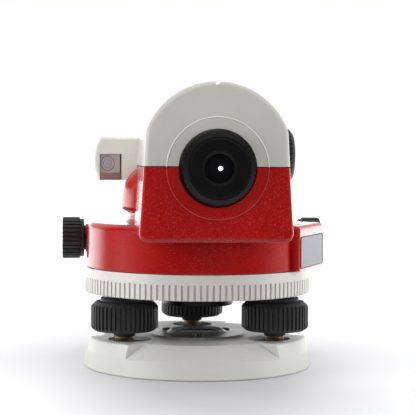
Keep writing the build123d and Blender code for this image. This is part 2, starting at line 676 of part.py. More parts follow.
def housing_seal():
    """Thin black gasket between the housing and the cover."""
    gasket = body_form(0.5) - body_form(WALL - 0.6)
    gasket -= along_y(rod(EYE_HALO_RADIUS + 1.5, BODY_REAR, BODY_REAR + 10))
    return gasket & block((-60, 60), (-90, 46), (SEAM_Z - SEAL_HEIGHT / 2, SEAM_Z + SEAL_HEIGHT / 2))


def cover_screws():
    """Two long screws that hold the cover from below."""
    screw = rod(3.0, 73.5, 76.0) + rod(1.45, 76.0, 113.0)
    screw -= Pos(0, 0, 73.5) * extrude(RegularPolygon(1.5, 6), 1.6)
    return group([Pos(x, COVER_SCREW_Y, 0) * screw for x in (-COVER_SCREW_X, COVER_SCREW_X)])


def label_plate():
    """Bare aluminium plate on the lobe."""
    plate = extrude(RectangleRounded(LABEL_LENGTH - 0.6, LABEL_HEIGHT - 0.6, 0.8), LABEL_THICKNESS)
    return label_plane() * Pos(0, 0, -LABEL_THICKNESS * 0.6) * plate


def spindle_screw_places():
    """Four screw places on the spindle's flange."""
    return [Rot(0, 0, angle) * Pos(15.6, 0, 0) for angle in (45, 135, 225, 315)]


def axis_spindle():
    """Steel spindle with a flange under the drum's roof."""
    spindle = lathe([
        (0, 34.6), (AXIS_RADIUS - 0.8, 34.6), (AXIS_RADIUS, 35.4), (AXIS_RADIUS, FLANGE_BOTTOM - 0.4),
        (AXIS_RADIUS + 1.5, FLANGE_BOTTOM), (18.4, FLANGE_BOTTOM), (18.4, DRUM_TOP - DRUM_ROOF),
        (0, DRUM_TOP - DRUM_ROOF),
    ])
    for place in spindle_screw_places():
        spindle -= place * rod(1.5, FLANGE_BOTTOM - 1, FLANGE_BOTTOM + 3)
    return spindle


def spindle_screws():
    """Four screws that hold the spindle's flange to the roof."""
    screw = Pos(0, 0, FLANGE_BOTTOM) * Rot(180, 0, 0) * pan_screw(1.9, 1.3, 1.22, 4.2)
    return group([place * screw for place in spindle_screw_places()])


def objective_cell():
    """Black barrel insert with the front bezel."""
    return along_y(lathe([
        (BARREL_BORE, 74.0), (BARREL_BORE, BARREL_FRONT),
        (BARREL_RADIUS - 0.1, BARREL_FRONT), (BARREL_RADIUS - 0.1, OBJECTIVE_FRONT - 1.0),
        (BARREL_RADIUS - 1.1, OBJECTIVE_FRONT), (OBJECTIVE_RADIUS + 3.0, OBJECTIVE_FRONT),
        (OBJECTIVE_RADIUS + 0.1, 92.0), (OBJECTIVE_RADIUS + 0.1, 80.0), (OBJECTIVE_RADIUS - 1.6, 80.0),
        (OBJECTIVE_RADIUS - 1.6, 74.0),
    ]))


def lens(radius, rear_y, front_y, rear_bulge, front_bulge):
    """Round lens on the line of sight; a bulge is how far a face stands out."""
    edges = [
        Line((0, rear_y - rear_bulge), (0, front_y + front_bulge)),
        Line((radius, rear_y), (radius, front_y)),
    ]
    edges.append(lens_face(radius, front_y, front_bulge))
    edges.append(lens_face(radius, rear_y, -rear_bulge))
    return along_y(revolve(Plane.XZ * make_face(edges), axis=Axis.Z))


def lens_face(radius, edge_y, rise):
    """Generating line of one lens face, an arc or a straight line."""
    if abs(rise) < 0.01:
        return Line((0, edge_y), (radius, edge_y))
    sphere = (radius ** 2 + rise ** 2) / (2 * rise)
    half = radius / 2
    height = edge_y + rise - (sphere - (1 if sphere > 0 else -1) * sqrt(sphere ** 2 - half ** 2))
    return ThreePointArc((0, edge_y + rise), (half, height), (radius, edge_y))


def objective_crown():
    """Front element of the objective, convex on both faces."""
    return lens(OBJECTIVE_RADIUS, 84.2, 86.4, 2.0, 2.6)


def objective_flint():
    """Rear element of the objective, hollow toward the crown."""
    return lens(OBJECTIVE_RADIUS, 80.0, 83.9, 0.0, -2.0)


def objective_retaining_ring():
    """Threaded ring that holds the objective glass."""
    return along_y(tube(OBJECTIVE_RADIUS + 0.05, OBJECTIVE_RADIUS - 1.6, 87.0, 89.0))


def focusing_guide():
    """Fixed tube in which the focusing cell slides, on a foot, slotted for the rack."""
    guide = along_y(tube(GUIDE_RADIUS, GUIDE_BORE, 6.0, 48.0))
    for y in (10.0, 42.0):
        guide += block((-5, 5), (y - 3, y + 3), (CAVITY_FLOOR, AXIS_Z - GUIDE_BORE - 0.5))
    guide += block((-9, 9), (7, 45), (CAVITY_FLOOR, CAVITY_FLOOR + 2.5))
    return guide - block((6, 20), (9, 45), (101.0, 107.5))


def focusing_cell():
    """Sliding cell with the rack on its right side."""
    cell = along_y(tube(CELL_RADIUS, 9.02, 20.0, 34.0))
    pitch_z = FOCUS_Z - PINION_PITCH_RADIUS
    root_z = pitch_z - RACK_DEDENDUM
    arm = block((9.6, RACK_X[1]), (22.0, 32.0), (102.0, root_z))
    bar = block(RACK_X, (-11.0, 32.0), (103.4, root_z))
    outline = [(-11.0, root_z - 0.3)]
    for tooth in range(-8, 7):
        middle = FOCUS_Y + (tooth + 0.5) * RACK_PITCH
        outline += [
            (middle - 0.52, root_z), (middle - 0.22, pitch_z + RACK_ADDENDUM),
            (middle + 0.22, pitch_z + RACK_ADDENDUM), (middle + 0.52, root_z),
        ]
    outline.append((18.0, root_z - 0.3))
    teeth = Pos(RACK_X[0], 0, 0) * extrude(Plane.YZ * face_of(outline), RACK_X[1] - RACK_X[0])
    return cell + (arm - along_y(rod(9.5, 0, 60))) + bar + teeth


def focusing_lens():
    """Negative lens in the sliding cell."""
    return lens(9.0, 25.0, 29.0, -1.0, -1.0)


def focusing_pinion():
    """Shaft with the small pinion that drives the rack."""
    pinion_outline = []
    tip = PINION_PITCH_RADIUS + RACK_ADDENDUM
    root = PINION_PITCH_RADIUS - RACK_DEDENDUM
    for tooth in range(PINION_TEETH):
        middle = pi + 2 * pi * tooth / PINION_TEETH
        for half_width, radius in ((-0.5, root), (-0.2, tip), (0.2, tip), (0.5, root)):
            angle = middle - pi / 2 + half_width / radius
            pinion_outline.append((radius * cos(angle), radius * sin(angle)))
    pinion = extrude(Pos(0, 0, 13.8) * face_of(pinion_outline), 3.6)
    shaft = rod(FOCUS_SHAFT_RADIUS, 13.8, FOCUS_KNOB_OUTER - 3)
    return along_x(pinion + shaft, FOCUS_Y, FOCUS_Z)


def focusing_bush():
    """Flanged bush in the cover's wall for the focusing shaft."""
    bush = rod(4.5, 25.5, 38.3) + rod(5.4, 25.5, 27.5) - rod(FOCUS_SHAFT_RADIUS + RUNNING_GAP, 20, 40)
    return along_x(bush, FOCUS_Y, FOCUS_Z)


def focusing_knob():
    """Ribbed black knob on the right of the telescope."""
    reach = FOCUS_KNOB_OUTER - FOCUS_KNOB_INNER
    turned = lathe(
        [
            (FOCUS_SHAFT_RADIUS, 0), (FOCUS_KNOB_RADIUS - 2.0, 0), (FOCUS_KNOB_RADIUS, 2.6),
            (FOCUS_KNOB_RADIUS, reach - 2.4), (FOCUS_KNOB_RADIUS - 2.6, reach), (0, reach),
            (0, reach - 3), (FOCUS_SHAFT_RADIUS, reach - 3),
        ],
        [0, 0, 1.5, 2.0, 1.2, 0, 0, 0],
    )
    knob = knurled(turned, FOCUS_KNOB_RADIUS, FOCUS_KNOB_RADIUS - 0.8, FOCUS_KNOB_RIBS, -1, reach + 1)
    return along_x(Pos(0, 0, FOCUS_KNOB_INNER) * knob, FOCUS_Y, FOCUS_Z)


def compensator_frame():
    """Bridge on the housing floor that carries the suspension."""
    frame = block((-20, 20), (-53, -23), (CAVITY_FLOOR, CAVITY_FLOOR + 3))
    for x in (-20.0, 16.0):
        frame += block((x, x + 4), (-42, -34), (CAVITY_FLOOR, SWING_Z + 4))
    frame += block((-20, 20), (-41, -35), (SWING_Z, SWING_Z + 4))
    for y in (-53.0, -29.0):
        frame += block((-5, 5), (y, y + 6), (CAVITY_FLOOR, AXIS_Z - 8))
    frame += Pos(0, SWING_Y, 0) * tube(7.6, 6.2, CAVITY_FLOOR + 2, CAVITY_FLOOR + 9)
    return frame


def fixed_prisms():
    """Two glass prisms fixed in front of and behind the swinging one."""
    profile = [(0, 0), (8, 0), (8, 10), (4, 16), (0, 16)]
    prism = extrude(Plane.YZ * face_of(profile), amount=8, both=True)
    front = Pos(0, -30.0, AXIS_Z - 8) * prism
    rear = Pos(0, -46.0, AXIS_Z - 8) * mirror(prism, about=Plane.XZ)
    return group([front, rear])


def pendulum_frame():
    """Hanging frame with the prism seat and the air damper's piston."""
    frame = block((-9, 9), (-40.5, -35.5), (AXIS_Z + 8.2, 120.0))
    for x in (-9.0, 6.6):
        frame += block((x, x + 2.4), (-40.5, -35.5), (93.5, 120.0))
    frame += block((-9, 9), (-40.5, -35.5), (93.5, AXIS_Z - 8.2))
    return frame + Pos(0, SWING_Y, 0) * rod(5.6, 84.6, 93.6)


def pendulum_prism():
    """Glass prism in the hanging frame."""
    return block((-6.5, 6.5), (-40.3, -35.7), (AXIS_Z - 8.1, AXIS_Z + 8.1))


def suspension_ribbons():
    """Four thin ribbons that cross between the frame and the pendulum."""
    ribbons = []
    for x, lean in ((-8.0, 1.6), (-4.0, -1.6), (4.0, 1.6), (8.0, -1.6)):
        profile = [(lean - 0.15, 0), (lean + 0.15, 0), (0.15 - lean, 7.85), (-0.15 - lean, 7.85)]
        ribbon = extrude(Plane.YZ * face_of(profile), amount=1.1, both=True)
        ribbons.append(Pos(x, SWING_Y, 120.0) * ribbon)
    return group(ribbons)


def eyepiece_sleeve():
    """Threaded guide in the rear wall that holds the reticle and the eyepiece."""
    sleeve = along_y(tube(SLEEVE_RADIUS, SLEEVE_BORE, BODY_REAR + 3.5, -58.0))
    for place in reticle_screw_places():
        sleeve -= place * rod(1.0, 0, 20)
    return sleeve


def reticle_screw_places():
    """Four radial screw places round the reticle."""
    return [Pos(0, RETICLE_Y, AXIS_Z) * Rot(0, angle, 0) for angle in (0, 90, 180, 270)]


def reticle_screws():
    """Four capstan screws that centre the reticle."""
    screw = rod(0.98, 8.8, 13.6) + rod(1.9, 13.6, 15.6) - Pos(0, 0, 14.6) * Rot(90, 0, 0) * Cylinder(0.45, 5)
    return group([place * screw for place in reticle_screw_places()])


def reticle_mount():
    """Ring that holds the reticle glass."""
    return along_y(tube(8.8, 5.6, RETICLE_Y - 2, RETICLE_Y + 2))


def reticle_glass():
    """Thin glass disc with the cross hairs."""
    return along_y(rod(5.6, RETICLE_Y - 0.8, RETICLE_Y + 0.8))


def eyepiece_barrel():
    """Sliding tube that carries the eyepiece lenses."""
    barrel = tube(EYE_BARREL_RADIUS, EYE_LENS_RADIUS, EYE_FRONT + 2.0, -70.0)
    return along_y(barrel)


def eye_lens():
    """Outer lens of the eyepiece."""
    return lens(EYE_LENS_RADIUS, EYE_FRONT + 3.6, EYE_FRONT + 5.4, 1.0, 1.4)


def field_lens():
    """Inner lens of the eyepiece."""
    return lens(EYE_LENS_RADIUS, -77.0, -75.0, 0.0, 1.8)


def dioptre_ring():
    """Knurled black ring with the shallow dish in front of the eye lens."""
    dish = EYE_FRONT + 1.8
    floor = EYE_FRONT + 6.5
    turned = lathe(
        [
            (EYE_LENS_RADIUS - 1.4, dish), (EYE_LENS_RADIUS, dish - 1.0), (13.4, EYE_FRONT + 0.3),
            (14.0, EYE_FRONT), (EYE_FACE_RADIUS, EYE_FRONT), (EYE_RING_RADIUS, EYE_FRONT + 2.0),
            (EYE_RING_RADIUS, EYE_RING_INNER_END), (16.0, EYE_RING_INNER_END), (16.0, floor),
            (EYE_BARREL_RADIUS + 0.05, floor), (EYE_BARREL_RADIUS + 0.05, dish),
        ],
        [0, 0, 0, 0, 0.5, 0.8, 0, 0, 0, 0, 0],
    )
    return along_y(knurled(turned, EYE_RING_RADIUS, EYE_RING_RADIUS - 0.45, EYE_RING_RIBS, -95, -80))


def level_bracket():
    """Light housing of the circular level, with its window and its post on the housing's side."""
    bow = ThreePointArc(
        (LEVEL_LEFT + 2.8, LEVEL_BOTTOM), (LEVEL_LEFT, 108.0), (LEVEL_LEFT + 3.0, LEVEL_TOP)
    )
    edges = [
        bow,
        Line((LEVEL_LEFT + 3.0, LEVEL_TOP), (LEVEL_RIGHT, LEVEL_TOP)),
        Line((LEVEL_RIGHT, LEVEL_TOP), (LEVEL_RIGHT, LEVEL_BOTTOM)),
        Line((LEVEL_RIGHT, LEVEL_BOTTOM), (LEVEL_LEFT + 2.8, LEVEL_BOTTOM)),
    ]
    body = Pos(0, LEVEL_REAR, 0) * extrude(Plane.XZ * make_face(edges), amount=LEVEL_REAR - LEVEL_FRONT)
    rear = body.edges().filter_by_position(Axis.Y, LEVEL_REAR - 0.01, LEVEL_REAR + 0.01)
    body = fillet([edge for edge in rear if (edge @ 0.5).X < -50 or (edge @ 0.5).Z > LEVEL_TOP - 1], 1.6)
    window = block(
        (LEVEL_WINDOW_LEFT, LEVEL_POST_LEFT), (LEVEL_REAR - 1, LEVEL_FRONT - 3),
        (LEVEL_SHELF, LEVEL_WINDOW_TOP),
    )
    pocket = block(
        (LEVEL_WINDOW_LEFT, LEVEL_POST_LEFT), (LEVEL_REAR - 1, LEVEL_FRONT - 1.5),
        (LEVEL_BOTTOM - 1, LEVEL_SHELF + 0.01),
    )
    joint_line = block(
        (LEVEL_POST_LEFT - 0.1, LEVEL_RIGHT + 1), (LEVEL_REAR - 1, LEVEL_REAR + 0.4),
        (LEVEL_WINDOW_TOP - 0.14, LEVEL_WINDOW_TOP + 0.14),
    )
    return body - window - pocket - joint_line - dome() - telescope_outside()


def level_vial_holder():
    """Holder under the prism with a round pocket for the vial."""
    holder = block(
        (LEVEL_WINDOW_LEFT, LEVEL_POST_LEFT - 0.5), (LEVEL_REAR, LEVEL_FRONT - 1.6),
        (LEVEL_BOTTOM, LEVEL_SHELF),
    )
    for x, y in LEVEL_SCREW_PLACES:
        holder -= Pos(x, y, 0) * rod(1.32, LEVEL_BOTTOM - 1, LEVEL_BOTTOM + 1.2)
    return holder - Pos(*VIAL_CENTRE, 0) * rod(VIAL_RADIUS, LEVEL_BOTTOM + 1.2, LEVEL_SHELF + 1)


def level_vial():
    """Round glass vial of the circular level."""
    return Pos(*VIAL_CENTRE, 0) * lathe(
        [
            (0, LEVEL_BOTTOM + 1.2), (VIAL_RADIUS - 0.05, LEVEL_BOTTOM + 1.2),
            (VIAL_RADIUS - 0.05, LEVEL_SHELF - 0.1), (0, LEVEL_SHELF - 0.1),
        ],
        [0, 0.3, 0.6, 0],
    )


def level_prism():
    """Right-angle prism that shows the vial to the observer."""
    profile = [
        (LEVEL_REAR + 0.6, LEVEL_SHELF + 0.1), (LEVEL_REAR + 10.0, LEVEL_SHELF + 0.1),
        (LEVEL_REAR + 10.0, LEVEL_SHELF + 0.5), (LEVEL_REAR + 1.2, LEVEL_WINDOW_TOP - 0.2),
        (LEVEL_REAR + 0.6, LEVEL_WINDOW_TOP - 0.2),
    ]
    width = LEVEL_POST_LEFT - LEVEL_WINDOW_LEFT - 0.9
    return Pos(LEVEL_WINDOW_LEFT + 0.1, 0, 0) * extrude(Plane.YZ * face_of(profile), width)


def level_adjusting_screws():
    """Three small socket screws sunk in the underside of the vial holder."""
    screw = rod(1.28, LEVEL_BOTTOM + 0.1, LEVEL_BOTTOM + 1.2)
    screw -= Pos(0, 0, LEVEL_BOTTOM + 0.1) * extrude(RegularPolygon(0.7, 6), 0.8)
    return group([Pos(x, y, 0) * screw for x, y in LEVEL_SCREW_PLACES])


def every_part():
    """All sub-parts by node name."""
    parts = {
        "base_plate": base_plate(),
        "spring_plate": spring_plate(),
        "spring_plate_screws": spring_plate_screws(),
        "ball_retainers": ball_retainers(),
        "tribrach_body": tribrach_body(),
        "footscrew_bushes": footscrew_bushes(),
        "axis_bush": axis_bush(),
        "circle_friction_washer": circle_friction_washer(),
        "circle_retaining_ring": circle_retaining_ring(),
        "horizontal_circle": horizontal_circle(),
        "worm_wheel": worm_wheel(),
        "clutch_washer": clutch_washer(),
        "clutch_nut": clutch_nut(),
        "drive_worm": drive_worm(),
        "drive_knob_left": drive_knob(-1),
        "drive_knob_right": drive_knob(1),
        "drive_bushes": drive_bushes(),
        "main_housing": main_housing(),
        "top_cover": top_cover(),
        "housing_seal": housing_seal(),
        "cover_screws": cover_screws(),
        "label_plate": label_plate(),
        "axis_spindle": axis_spindle(),
        "spindle_screws": spindle_screws(),
        "objective_cell": objective_cell(),
        "objective_crown": objective_crown(),
        "objective_flint": objective_flint(),
        "objective_retaining_ring": objective_retaining_ring(),
        "focusing_guide": focusing_guide(),
        "focusing_cell": focusing_cell(),
        "focusing_lens": focusing_lens(),
        "focusing_pinion": focusing_pinion(),
        "focusing_bush": focusing_bush(),
        "focusing_knob": focusing_knob(),
        "compensator_frame": compensator_frame(),
        "fixed_prisms": fixed_prisms(),
        "pendulum_frame": pendulum_frame(),
        "pendulum_prism": pendulum_prism(),
        "suspension_ribbons": suspension_ribbons(),
        "eyepiece_sleeve": eyepiece_sleeve(),
        "reticle_screws": reticle_screws(),
        "reticle_mount": reticle_mount(),
        "reticle_glass": reticle_glass(),
        "eyepiece_barrel": eyepiece_barrel(),
        "eye_lens": eye_lens(),
        "field_lens": field_lens(),
        "dioptre_ring": dioptre_ring(),
        "level_bracket": level_bracket(),
        "level_vial_holder": level_vial_holder(),
        "level_vial": level_vial(),
        "level_prism": level_prism(),
        "level_adjusting_screws": level_adjusting_screws(),
    }
    for name in SCREW_ANGLES:
        parts[f"footscrew_{name}_spindle"] = at_screw(name, footscrew_spindle())
        parts[f"footscrew_{name}_knob"] = at_screw(name, footscrew_knob())
    return parts


os.makedirs("parts", exist_ok=True)
for node, shape in every_part().items():
    export_step(shape, f"parts/{node}.step")
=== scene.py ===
"""Looks of an automatic level on its footscrew base.

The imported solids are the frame. This script gives every one of them its finish, adds the fine pieces that
are too small for the solids, and sets the floor, the light and the camera. Lengths are in metres, +Z is up,
the eyepiece looks toward -Y and the objective toward +Y.
"""

import logging
import math
from collections.abc import Mapping, Sequence
from dataclasses import dataclass, field
from enum import Enum

import bpy
import numpy as np
from mathutils import Matrix, Quaternion, Vector


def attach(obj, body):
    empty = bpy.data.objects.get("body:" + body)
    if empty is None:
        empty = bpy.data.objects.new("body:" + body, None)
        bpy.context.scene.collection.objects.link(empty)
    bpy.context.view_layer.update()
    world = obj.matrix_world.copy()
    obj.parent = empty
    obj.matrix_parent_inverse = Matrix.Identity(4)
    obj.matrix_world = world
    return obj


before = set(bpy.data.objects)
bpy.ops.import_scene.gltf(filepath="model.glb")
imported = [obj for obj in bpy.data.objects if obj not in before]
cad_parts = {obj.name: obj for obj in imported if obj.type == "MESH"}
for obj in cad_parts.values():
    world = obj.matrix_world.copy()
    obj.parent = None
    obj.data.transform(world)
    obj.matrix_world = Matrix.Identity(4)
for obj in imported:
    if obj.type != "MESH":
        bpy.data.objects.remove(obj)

MM = 0.001
PHOTO_SIDE = 415
LOG = logging.getLogger("automatic_level")
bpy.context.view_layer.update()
NOISE = "ShaderNodeTexNoise"
RANGE = "ShaderNodeMapRange"
MIX = "ShaderNodeMix"
BUMP = "ShaderNodeBump"
MATH = "ShaderNodeMath"
LIGHT_PATH = "ShaderNodeLightPath"
# Sockets by number: a Map Range takes a value at 0, from 1 to 2, and gives 3 to 4. A Mix takes its share at
# 0, two numbers at 2 and 3 or two colours at 6 and 7. The noise is spread between these two of its values.
NOISE_LOW = 0.3
NOISE_HIGH = 0.7
# Corners of a cord's round section, cells along one side of a drop, and the power that makes an ellipse
CORD_SIDES = 8
DROP_CELLS = 16
ELLIPSE = 2.0
# Across and up in a plane that looks toward -Y, as the eyepiece does
ACROSS = (1.0, 0.0, 0.0)
UP = (0.0, 0.0, 1.0)
# Corners of a thread's section, as shares of its depth and its pitch; its ends taper over an angle to a tip
THREAD_SECTION = ((-0.1, -0.46), (1.0, -0.07), (1.0, 0.07), (-0.1, 0.46))
THREAD_TAPER = 1.2
THREAD_TIP = 0.02

# Where the white sweep behind the object starts and is full, as the Y part of a direction
SWEEP_START = 0.38
SWEEP_FULL = 0.62
# Where the sweep begins to fade above the horizon and stops, as the Z part of a direction, and what is left
FADE_START = 0.10
FADE_END = 0.21
FADED_SHARE = 0.28


def linear(colour: str) -> tuple[float, float, float, float]:
    """Turn an sRGB hex colour into linear red, green, blue and a full alpha.

    Args:
        colour: Six hex digits with a leading hash sign.

    Returns:
        The linear colour that shader sockets expect.
    """
    levels = [int(colour[at:at + 2], 16) / 255.0 for at in (1, 3, 5)]
    return (*[v / 12.92 if v <= 0.04045 else ((v + 0.055) / 1.055) ** 2.4 for v in levels], 1.0)


def per_lump(size_mm: float) -> float:
    """Scale of a pattern in metres whose lumps are about size_mm across."""
    return 1.0 / (size_mm * MM)


def add_node(
    tree: bpy.types.NodeTree, kind: str, sockets: Mapping | None = None, out: int | str = 0, **settings,
) -> bpy.types.NodeSocket | None:
    """Add one shader node, set its properties and fill or link its sockets.

    Args:
        tree: The node tree that gets the node.
        kind: The node's Blender type name.
        sockets: Socket name or index, with a value or the output socket that feeds it.
        out: Name or index of the output that is wanted.
        **settings: Properties of the node itself.

    Returns:
        The wanted output, or None for a node without outputs.
    """
    node = tree.nodes.new(kind)
    for name, value in settings.items():
        setattr(node, name, value)
    for name, value in (sockets or {}).items():
        if isinstance(value, bpy.types.NodeSocket):
            tree.links.new(value, node.inputs[name])
        else:
            node.inputs[name].default_value = value
    return node.outputs[out] if node.outputs else None


def sweep_share(tree: bpy.types.NodeTree, direction: bpy.types.NodeSocket) -> bpy.types.NodeSocket:
    """Share of the white sweep's strength in a direction: full low behind the object, weaker higher up.

    Args:
        tree: Node tree that the nodes go into.
        direction: Socket with the direction.

    Returns:
        Socket with the share, from 0 to 1.
    """
    behind = add_node(tree, "ShaderNodeSeparateXYZ", {0: direction}, "Y")
    behind = add_node(tree, RANGE, {0: behind, 1: SWEEP_START, 2: SWEEP_FULL})
    height = add_node(tree, "ShaderNodeSeparateXYZ", {0: direction}, "Z")
    height = add_node(tree, RANGE, {0: height, 1: FADE_START, 2: FADE_END, 3: 1.0, 4: FADED_SHARE})
    return add_node(tree, MATH, {0: behind, 1: height}, operation="MULTIPLY")


class Grain(Enum):
    """How the fine texture of a surface lies; the value stretches its coordinates."""

    EVEN = (1.0, 1.0, 1.0)
    TURNED_ON_Z = (0.04, 0.04, 1.0)
    TURNED_ON_Y = (0.04, 1.0, 0.04)


@dataclass(frozen=True)
class Finish:
    """One real material; a subclass says how its surface looks."""

    name: str
    colour: str

    def surface(self, tree: bpy.types.NodeTree, place: bpy.types.NodeSocket) -> dict[str, object]:
        """Sockets of the Principled shader, from the object coordinates."""
        raise NotImplementedError

    def build(self) -> bpy.types.Material:
        """Build the material as one Principled shader on its own tree."""
        material = bpy.data.materials.new(self.name)
        material.use_nodes = True
        tree = material.node_tree
        tree.nodes.clear()
        place = add_node(tree, "ShaderNodeTexCoord", out="Object")
        shader = add_node(tree, "ShaderNodeBsdfPrincipled", self.surface(tree, place))
        add_node(tree, "ShaderNodeOutputMaterial", {"Surface": shader})
        return material


@dataclass(frozen=True)
class GlossEnamel(Finish):
    """Stove enamel sprayed on a casting: even colour, a fine orange peel and small pale specks that are painted
    glints.
    """

    deep_colour: str
    glint_speck_colour: str
    roughness: float = 0.30
    peel_mm: float = 1.0
    peel_depth_mm: float = 0.02
    glint_speck_mm: float = 0.45
    glint_speck_share: float = 0.10
    cloud_mm: float = 28.0
    wander_mm: float = 6.0

    def surface(self, tree: bpy.types.NodeTree, place: bpy.types.NodeSocket) -> dict[str, object]:
        """Cloudy colour with painted glint specks, peeled normal and a roughness that wanders a little."""
        cloud = add_node(tree, NOISE, {"Vector": place, "Scale": per_lump(self.cloud_mm), "Detail": 3.0})
        cloud = add_node(tree, RANGE, {0: cloud, 1: 0.35, 2: 0.65})
        shades = {0: cloud, 6: linear(self.deep_colour), 7: linear(self.colour)}
        body = add_node(tree, MIX, shades, 2, data_type="RGBA")
        # Painted glints: small pale specks mixed into the colour where the peel would catch the side lights.
        speck = add_node(tree, NOISE, {"Vector": place, "Scale": per_lump(self.glint_speck_mm), "Detail": 1.0})
        share = add_node(tree, RANGE, {0: speck, 1: 0.60, 2: 0.74, 4: self.glint_speck_share})
        body = add_node(tree, MIX, {0: share, 6: body, 7: linear(self.glint_speck_colour)}, 2, data_type="RGBA")
        peel = add_node(tree, NOISE, {"Vector": place, "Scale": per_lump(self.peel_mm), "Detail": 2.5})
        normal = add_node(tree, BUMP, {"Height": peel, "Distance": self.peel_depth_mm * MM})
        rough = add_node(tree, NOISE, {"Vector": place, "Scale": per_lump(self.wander_mm)})
        rough = add_node(tree, RANGE, {
            0: rough, 1: NOISE_LOW, 2: NOISE_HIGH, 3: self.roughness - 0.02, 4: self.roughness + 0.05,
        })
        return {"Base Color": body, "Roughness": rough, "Normal": normal}


@dataclass(frozen=True)
class TexturedPlastic(Finish):
    """Black plastic from a spark-eroded mould: a fine even grain and patches polished by handling."""

    worn_colour: str
    roughness: float = 0.48
    grain_mm: float = 0.35
    grain_depth_mm: float = 0.02
    handled_mm: float = 9.0

    def surface(self, tree: bpy.types.NodeTree, place: bpy.types.NodeSocket) -> dict[str, object]:
        """Grain in the normal and the roughness, wide worn patches in the colour."""
        grain = add_node(tree, NOISE, {"Vector": place, "Scale": per_lump(self.grain_mm)})
        handled = add_node(tree, NOISE, {"Vector": place, "Scale": per_lump(self.handled_mm), "Detail": 3.0})
        handled = add_node(tree, RANGE, {0: handled, 1: 0.35, 2: 0.7, 4: 0.6})
        shades = {0: handled, 6: linear(self.colour), 7: linear(self.worn_colour)}
        normal = add_node(tree, BUMP, {"Height": grain, "Distance": self.grain_depth_mm * MM})
        return {
            "Base Color": add_node(tree, MIX, shades, 2, data_type="RGBA"),
            "Roughness": add_node(tree, RANGE, {
                0: grain, 1: NOISE_LOW, 2: NOISE_HIGH, 3: self.roughness - 0.06, 4: self.roughness + 0.08,
            }),
            "Normal": normal,
        }


@dataclass(frozen=True)
class MachinedMetal(Finish):
    """Turned or ground metal: fine tool lines round its axis and a little tarnish."""

    tarnish: str
    roughness: float = 0.28
    line_mm: float = 0.12
    line_depth_mm: float = 0.004
    grain: Grain = Grain.EVEN
    metallic: float = 1.0
    stain_mm: float = 3.5

    def surface(self, tree: bpy.types.NodeTree, place: bpy.types.NodeSocket) -> dict[str, object]:
        """Tool lines in the normal and the roughness, cloudy tarnish in the colour."""
        along = add_node(tree, "ShaderNodeMapping", {"Vector": place, "Scale": self.grain.value})
        lines = add_node(tree, NOISE, {"Vector": along, "Scale": per_lump(self.line_mm)})
        stain = add_node(tree, NOISE, {"Vector": place, "Scale": per_lump(self.stain_mm), "Detail": 4.0})
        stain = add_node(tree, RANGE, {0: stain, 1: 0.42, 2: 0.72, 4: 0.55})
        shades = {0: stain, 6: linear(self.colour), 7: linear(self.tarnish)}
        return {
            "Base Color": add_node(tree, MIX, shades, 2, data_type="RGBA"),
            "Metallic": self.metallic,
            "Roughness": add_node(tree, RANGE, {
                0: lines, 1: NOISE_LOW, 2: NOISE_HIGH, 3: self.roughness - 0.05, 4: self.roughness + 0.08,
            }),
            "Normal": add_node(tree, BUMP, {"Height": lines, "Distance": self.line_depth_mm * MM}),
        }


@dataclass(frozen=True)
class OpticalGlass(Finish):
    """Polished glass whose coating tints its reflections, with a breath of haze."""

    coating: str = "#ffffff"
    ior: float = 1.52
    opaque: bool = False
    haze_mm: float = 2.0
    haze: float = 0.03

    def surface(self, tree: bpy.types.NodeTree, place: bpy.types.NodeSocket) -> dict[str, object]:
        """Clear body, or, when opaque, an even tone painted in for what the glass would show: shade in the eye
        lenses, a reflection in the level's prism; under a nearly smooth face.
        """
        haze = add_node(tree, NOISE, {"Vector": place, "Scale": per_lump(self.haze_mm)})
        haze = add_node(tree, RANGE, {0: haze, 1: 0.4, 2: 0.7, 4: self.haze})
        return {
            "Base Color": linear(self.colour), "Roughness": haze, "IOR": self.ior,
            "Transmission Weight": 0.0 if self.opaque else 1.0, "Specular Tint": linear(self.coating),
        }


@dataclass(frozen=True)
class PaintedGlow(Finish):
    """Painted light: a patch that glows though it is no lamp, as the sky's image in a lens or the bubble's
    image in a prism.
    """

    edge_colour: str
    strength: float
    cloud_mm: float = 1.5

    def surface(self, tree: bpy.types.NodeTree, place: bpy.types.NodeSocket) -> dict[str, object]:
        """Emission whose colour wanders a little."""
        cloud = add_node(tree, NOISE, {"Vector": place, "Scale": per_lump(self.cloud_mm)})
        cloud = add_node(tree, RANGE, {0: cloud, 1: NOISE_LOW, 2: NOISE_HIGH, 4: 0.5})
        shades = {0: cloud, 6: linear(self.colour), 7: linear(self.edge_colour)}
        shade = add_node(tree, MIX, shades, 2, data_type="RGBA")
        return {"Base Color": shade, "Emission Color": shade, "Emission Strength": self.strength}


